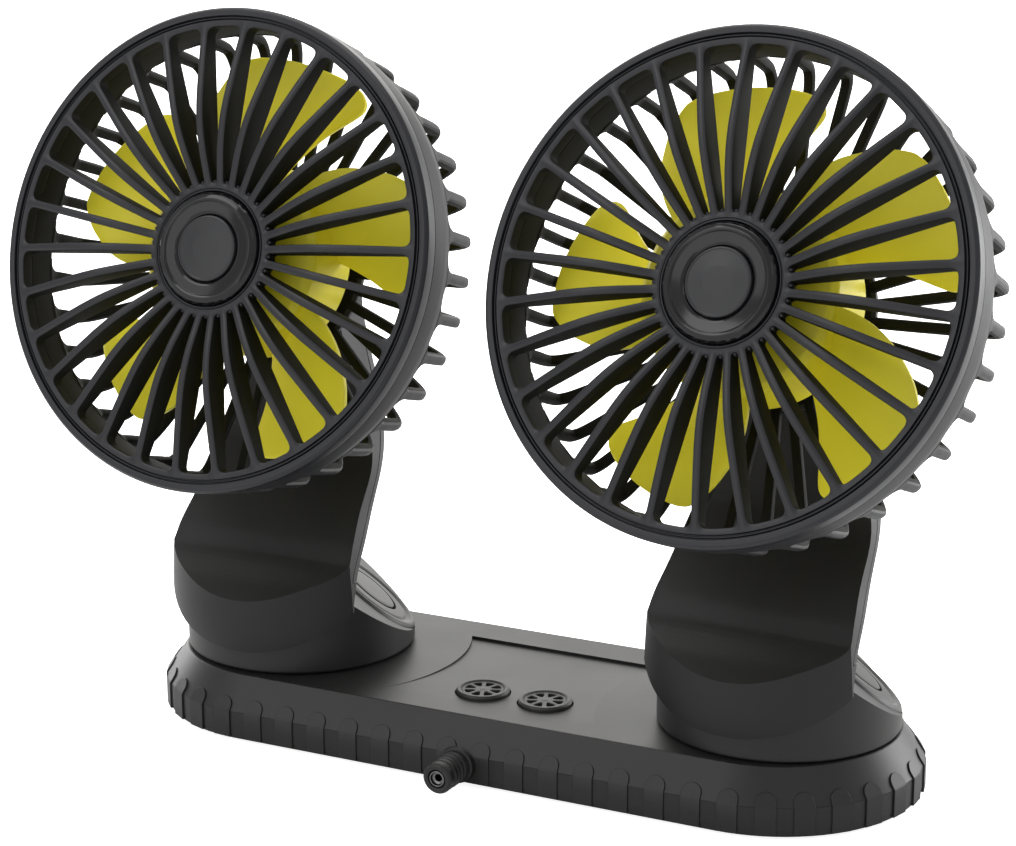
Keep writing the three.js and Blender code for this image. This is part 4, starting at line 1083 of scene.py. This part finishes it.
def makeCage(side):
    outer, inner, front, back = (cageLook[k] for k in ("radius", "inner", "wallFront", "wallRear"))
    shell = headLathe("shell", [(inner, front, 0.3), (outer, front, 0.12), (outer - 0.3, back - 3, 6),
            (cageLook["rearRadius"], back, 0.25), (inner, back, 0.4)], 180)
    rear, hub = cageLook["rear"], cageLook["hubRadius"]
    boss = headLathe("boss", [(1.8, rear - 2.4, 0), (hub - 1, rear - 2.4, 0.4), (hub, rear - 1.7, 0.5),
            (hub, rear, 0.6), (22.6, rear, 0), (1.8, rear, 0)], 96)
    whole = joined(side + "RearCage", [shell, boss, repeatRound(makeRib(), cageLook["ribs"], "cage")])
    placeOnHead(whole, side, "_rear_cage", isShadedInside=isCageInside)


def makeBlade():
    # a broad blade that climbs from its rear edge to its front edge
    edges = smoothLine(fanLook["edges"], 4)
    acrosses, ups = fanLook["acrosses"], len(edges) - 1
    verts, faces = [], []
    for layer in (0, 1):
        for radius, low, high in edges:
            for k in range(acrosses + 1):
                angle = low + (high - low) * k / acrosses
                climb = fanLook["sweep"] * (1 - angle / fanLook["span"])
                camber = fanLook["camber"] * math.sin(math.pi * k / acrosses) * (radius / fanLook["tip"])
                depth = fanLook["front"] + climb - camber + layer * fanLook["thickness"]
                turn = math.radians(angle)
                verts.append((radius * math.cos(turn), deep(depth), radius * math.sin(turn)))

    def at(layer, i, k):
        return (layer * (ups + 1) + i) * (acrosses + 1) + k

    for layer in (0, 1):
        for i in range(ups):
            for k in range(acrosses):
                faces.append([at(layer, i + a, k + b) for a, b in quad])
    for i in range(ups):
        for k in (0, acrosses):
            faces.append((at(0, i, k), at(0, i + 1, k), at(1, i + 1, k), at(1, i, k)))
    for k in range(acrosses):
        for i in (0, ups):
            faces.append((at(0, i, k), at(0, i, k + 1), at(1, i, k + 1), at(1, i, k)))
    return soften(meshPiece("blade", verts, faces), fanLook["edge"], 2, 50)


def makeImpeller(side):
    blade = makeBlade()
    repeatRound(blade, fanLook["blades"], "blade", start=-math.radians(poseOf[side]["bladeTurn"]))
    radius, front, rear = fanLook["root"], fanLook["bossFront"], fanLook["bossRear"]
    boss = headLathe("rotor", [(1.5, front, 0), (radius - 1.8, front, 1.2), (radius, front + 1.8, 1.6),
            (radius, rear, 0.3), (radius - 1.5, rear, 0.2), (radius - 1.5, front + 1.7, 0.5),
            (1.5, front + 1.7, 0)], 120)
    whole = joined(side + "Impeller", [blade, boss])
    placeOnHead(whole, side, "_impeller", "blade", 40, "_rotor")


def makeMotorCover(side):
    look = motorCoverLook
    front, rear = cageLook["rear"] + look["gap"], cageLook["rear"] + look["depth"]
    radius, topRadius, lug = look["radius"], look["topRadius"], look["lug"]
    shell = headLathe("cover", [(0, front + 0.1, 0), (19.8, front, 0), (radius, front, 0.3),
        (radius, front + 2.2, 1.2), (topRadius, rear, 2.0), (0, rear, 0)], 96, 6)
    foot = deep(rear) - 2
    outline = [(foot, -lug), (foot, lug), (0, lug)]
    for degrees in range(10, 180, 10):
        angle = math.radians(degrees)
        outline.append((lug * math.sin(angle), lug * math.cos(angle)))
    ear = prism("lug", outline + [(0, -lug)], -look["lugHalf"], look["lugHalf"])
    carve(ear, pinBore())
    soften(ear, look["lugEdge"], 3, 40)
    placeOnHead(joined(side + "MotorCover", [shell, ear, motorVents(front, rear)]), side, "_motor_cover")


def motorVents(front, rear):
    # a ring of short slats on the cover's slope
    look = motorCoverLook
    ventIn, ventOut, wide, rounding = look["ventIn"], look["ventOut"], look["ventHalf"], look["ventRound"]
    slope = math.atan2(rear - front - 2.2, look["radius"] - look["topRadius"])
    outline = roundedPath([(ventIn, -wide, rounding), (ventOut, -wide, rounding), (ventOut, wide, rounding),
        (ventIn, wide, rounding)])
    vent = prism("vent", outline, -0.35, 0.25, "y")
    middle = Matrix.Translation(((ventIn + ventOut) / 2, 0, 0))
    turnedBy(vent, middle @ Matrix.Rotation(slope, 4, "Z") @ middle.inverted())
    turnedBy(vent, Matrix.Translation((0.3, deep(rear - 2.2), 0)))
    soften(vent, 0.2, 2, 40)
    return repeatRound(vent, look["vents"], "cage", start=math.pi / look["vents"])


for side in poseOf:
    makeGrille(side)
    makeCage(side)
    makeImpeller(side)
    makeMotorCover(side)
print("scene: heads made")


# The CAD nodes that keep their shape get their finish, by the longest part of their name that is listed.
nodeFinish = {
    "base_pad": "rubber", "control_board": "board", "base_screw": "steel", "fan_switch": "turret",
    "inlet_contact": "steel", "turret_retainer": "steel", "neck_screw": "steel", "tilt_pin": "steel",
    "tilt_washer": "rubber", "motor": "can", "rotor_shaft": "steel", "rotor_nut": "steel",
}
for name, node in nodes.items():
    if node.hide_render:
        continue
    match = [key for key in nodeFinish if key in name]
    node.data.materials.clear()
    node.data.materials.append(finishes[nodeFinish[max(match, key=len)] if match else "base"])


# Stage, light and camera. Lights aim at a point just above the base, in metres.
stageLook = {"floorHalf": 6.0, "floorDrop": 0.0003, "floorGlow": 0.85, "worldGlow": 0.85, "aim": (0, 0, 0.1)}
lights = {
    "front": {"spot": (-0.7, -2.0, 0.5), "size": 1.5, "power": 9.4},
    "key": {"spot": (-0.75, -0.9, 1.35), "size": 0.8, "power": 7.0},
    "left": {"spot": (-1.2, 0.5, 0.25), "size": 0.5, "power": 5.5},
    "right": {"spot": (0.9, -0.8, 1.2), "size": 0.4, "power": 0.8},
    "near": {"spot": (0.46, 0.36, 0.13), "size": 0.24, "power": 0.75},
    "rear": {"spot": (0.95, 1.3, 0.3), "size": 0.9, "power": 13.0},
    "back": {"spot": (-0.9, 1.8, 0.5), "size": 2.0, "power": 24.5, "colour": (1.0, 0.985, 0.95)},
    "top": {"spot": (-0.2, 0.3, 1.5), "size": 1.0, "power": 8.5},
}


def cameraOnly(tree, low, high):
    # one level for the camera, another for every other ray
    path = tree.nodes.new("ShaderNodeLightPath")
    level = tree.nodes.new("ShaderNodeMapRange")
    feed(tree, low, level.inputs["To Min"])
    feed(tree, high, level.inputs["To Max"])
    feed(tree, path.outputs["Is Camera Ray"], level.inputs["Value"])
    return level.outputs["Result"]


def makeStage():
    half, drop = stageLook["floorHalf"], stageLook["floorDrop"]
    corners = [(x * half, y * half, -drop) for x, y in ((-1, -1), (1, -1), (1, 1), (-1, 1))]
    floor = meshPiece("floor", corners, [(0, 1, 2, 3)])
    pale = bpy.data.materials.new("paleFloor")
    pale.use_nodes = True
    tree = pale.node_tree
    values = {"Base Color": (0.93, 0.93, 0.93, 1), "Roughness": 0.9, "Specular IOR Level": 0.1,
        "Emission Color": (1, 1, 1, 1), "Emission Strength": cameraOnly(tree, 0.0, stageLook["floorGlow"])}
    for label, value in values.items():
        feed(tree, value, tree.nodes["Principled BSDF"].inputs[label])
    floor.data.materials.append(pale)


def makeLight(name, look):
    lamp = bpy.data.lights.new(name, "AREA")
    lamp.size = look["size"]
    lamp.energy = look["power"]
    lamp.color = look.get("colour", (1, 1, 1))
    holder = newObject(name, lamp)
    holder.location = look["spot"]
    holder.visible_camera = False
    aim = Vector(stageLook["aim"]) - holder.location
    holder.rotation_euler = aim.to_track_quat("-Z", "Y").to_euler()


def makeWorld():
    # white to the camera, and dimmer as a light
    world = bpy.data.worlds.new("studio")
    world.use_nodes = True
    tree = world.node_tree
    sky = tree.nodes["Background"]
    feed(tree, (1, 1, 1, 1), sky.inputs["Color"])
    feed(tree, cameraOnly(tree, stageLook["worldGlow"], 1.0), sky.inputs["Strength"])
    bpy.context.scene.world = world


makeStage()
for name, look in lights.items():
    makeLight(name + "Light", look)
makeWorld()
bpy.context.scene.view_settings.view_transform = "Standard"

cameraLook = {"place": (308.6, -628.6, 275.9), "right": (0.894, 0.448, -0.002), "up": (-0.114, 0.231, 0.966),
    "back": (0.433, -0.864, 0.257), "lens": 95.8, "sensor": 36, "nearest": 0.02}
lens = bpy.data.cameras.new("photoCamera")
lens.lens = cameraLook["lens"]
lens.sensor_width = cameraLook["sensor"]
lens.clip_start = cameraLook["nearest"]
camera = newObject("photoCamera", lens)
axes = Matrix([cameraLook[k] for k in ("right", "up", "back")]).transposed()
facing = axes.to_quaternion().to_matrix().to_4x4()
camera.matrix_world = Matrix.Translation(Vector(cameraLook["place"]) * millimetre) @ facing
bpy.context.scene.camera = camera
print("scene: stage and camera ready")

bpy.context.view_layer.update()
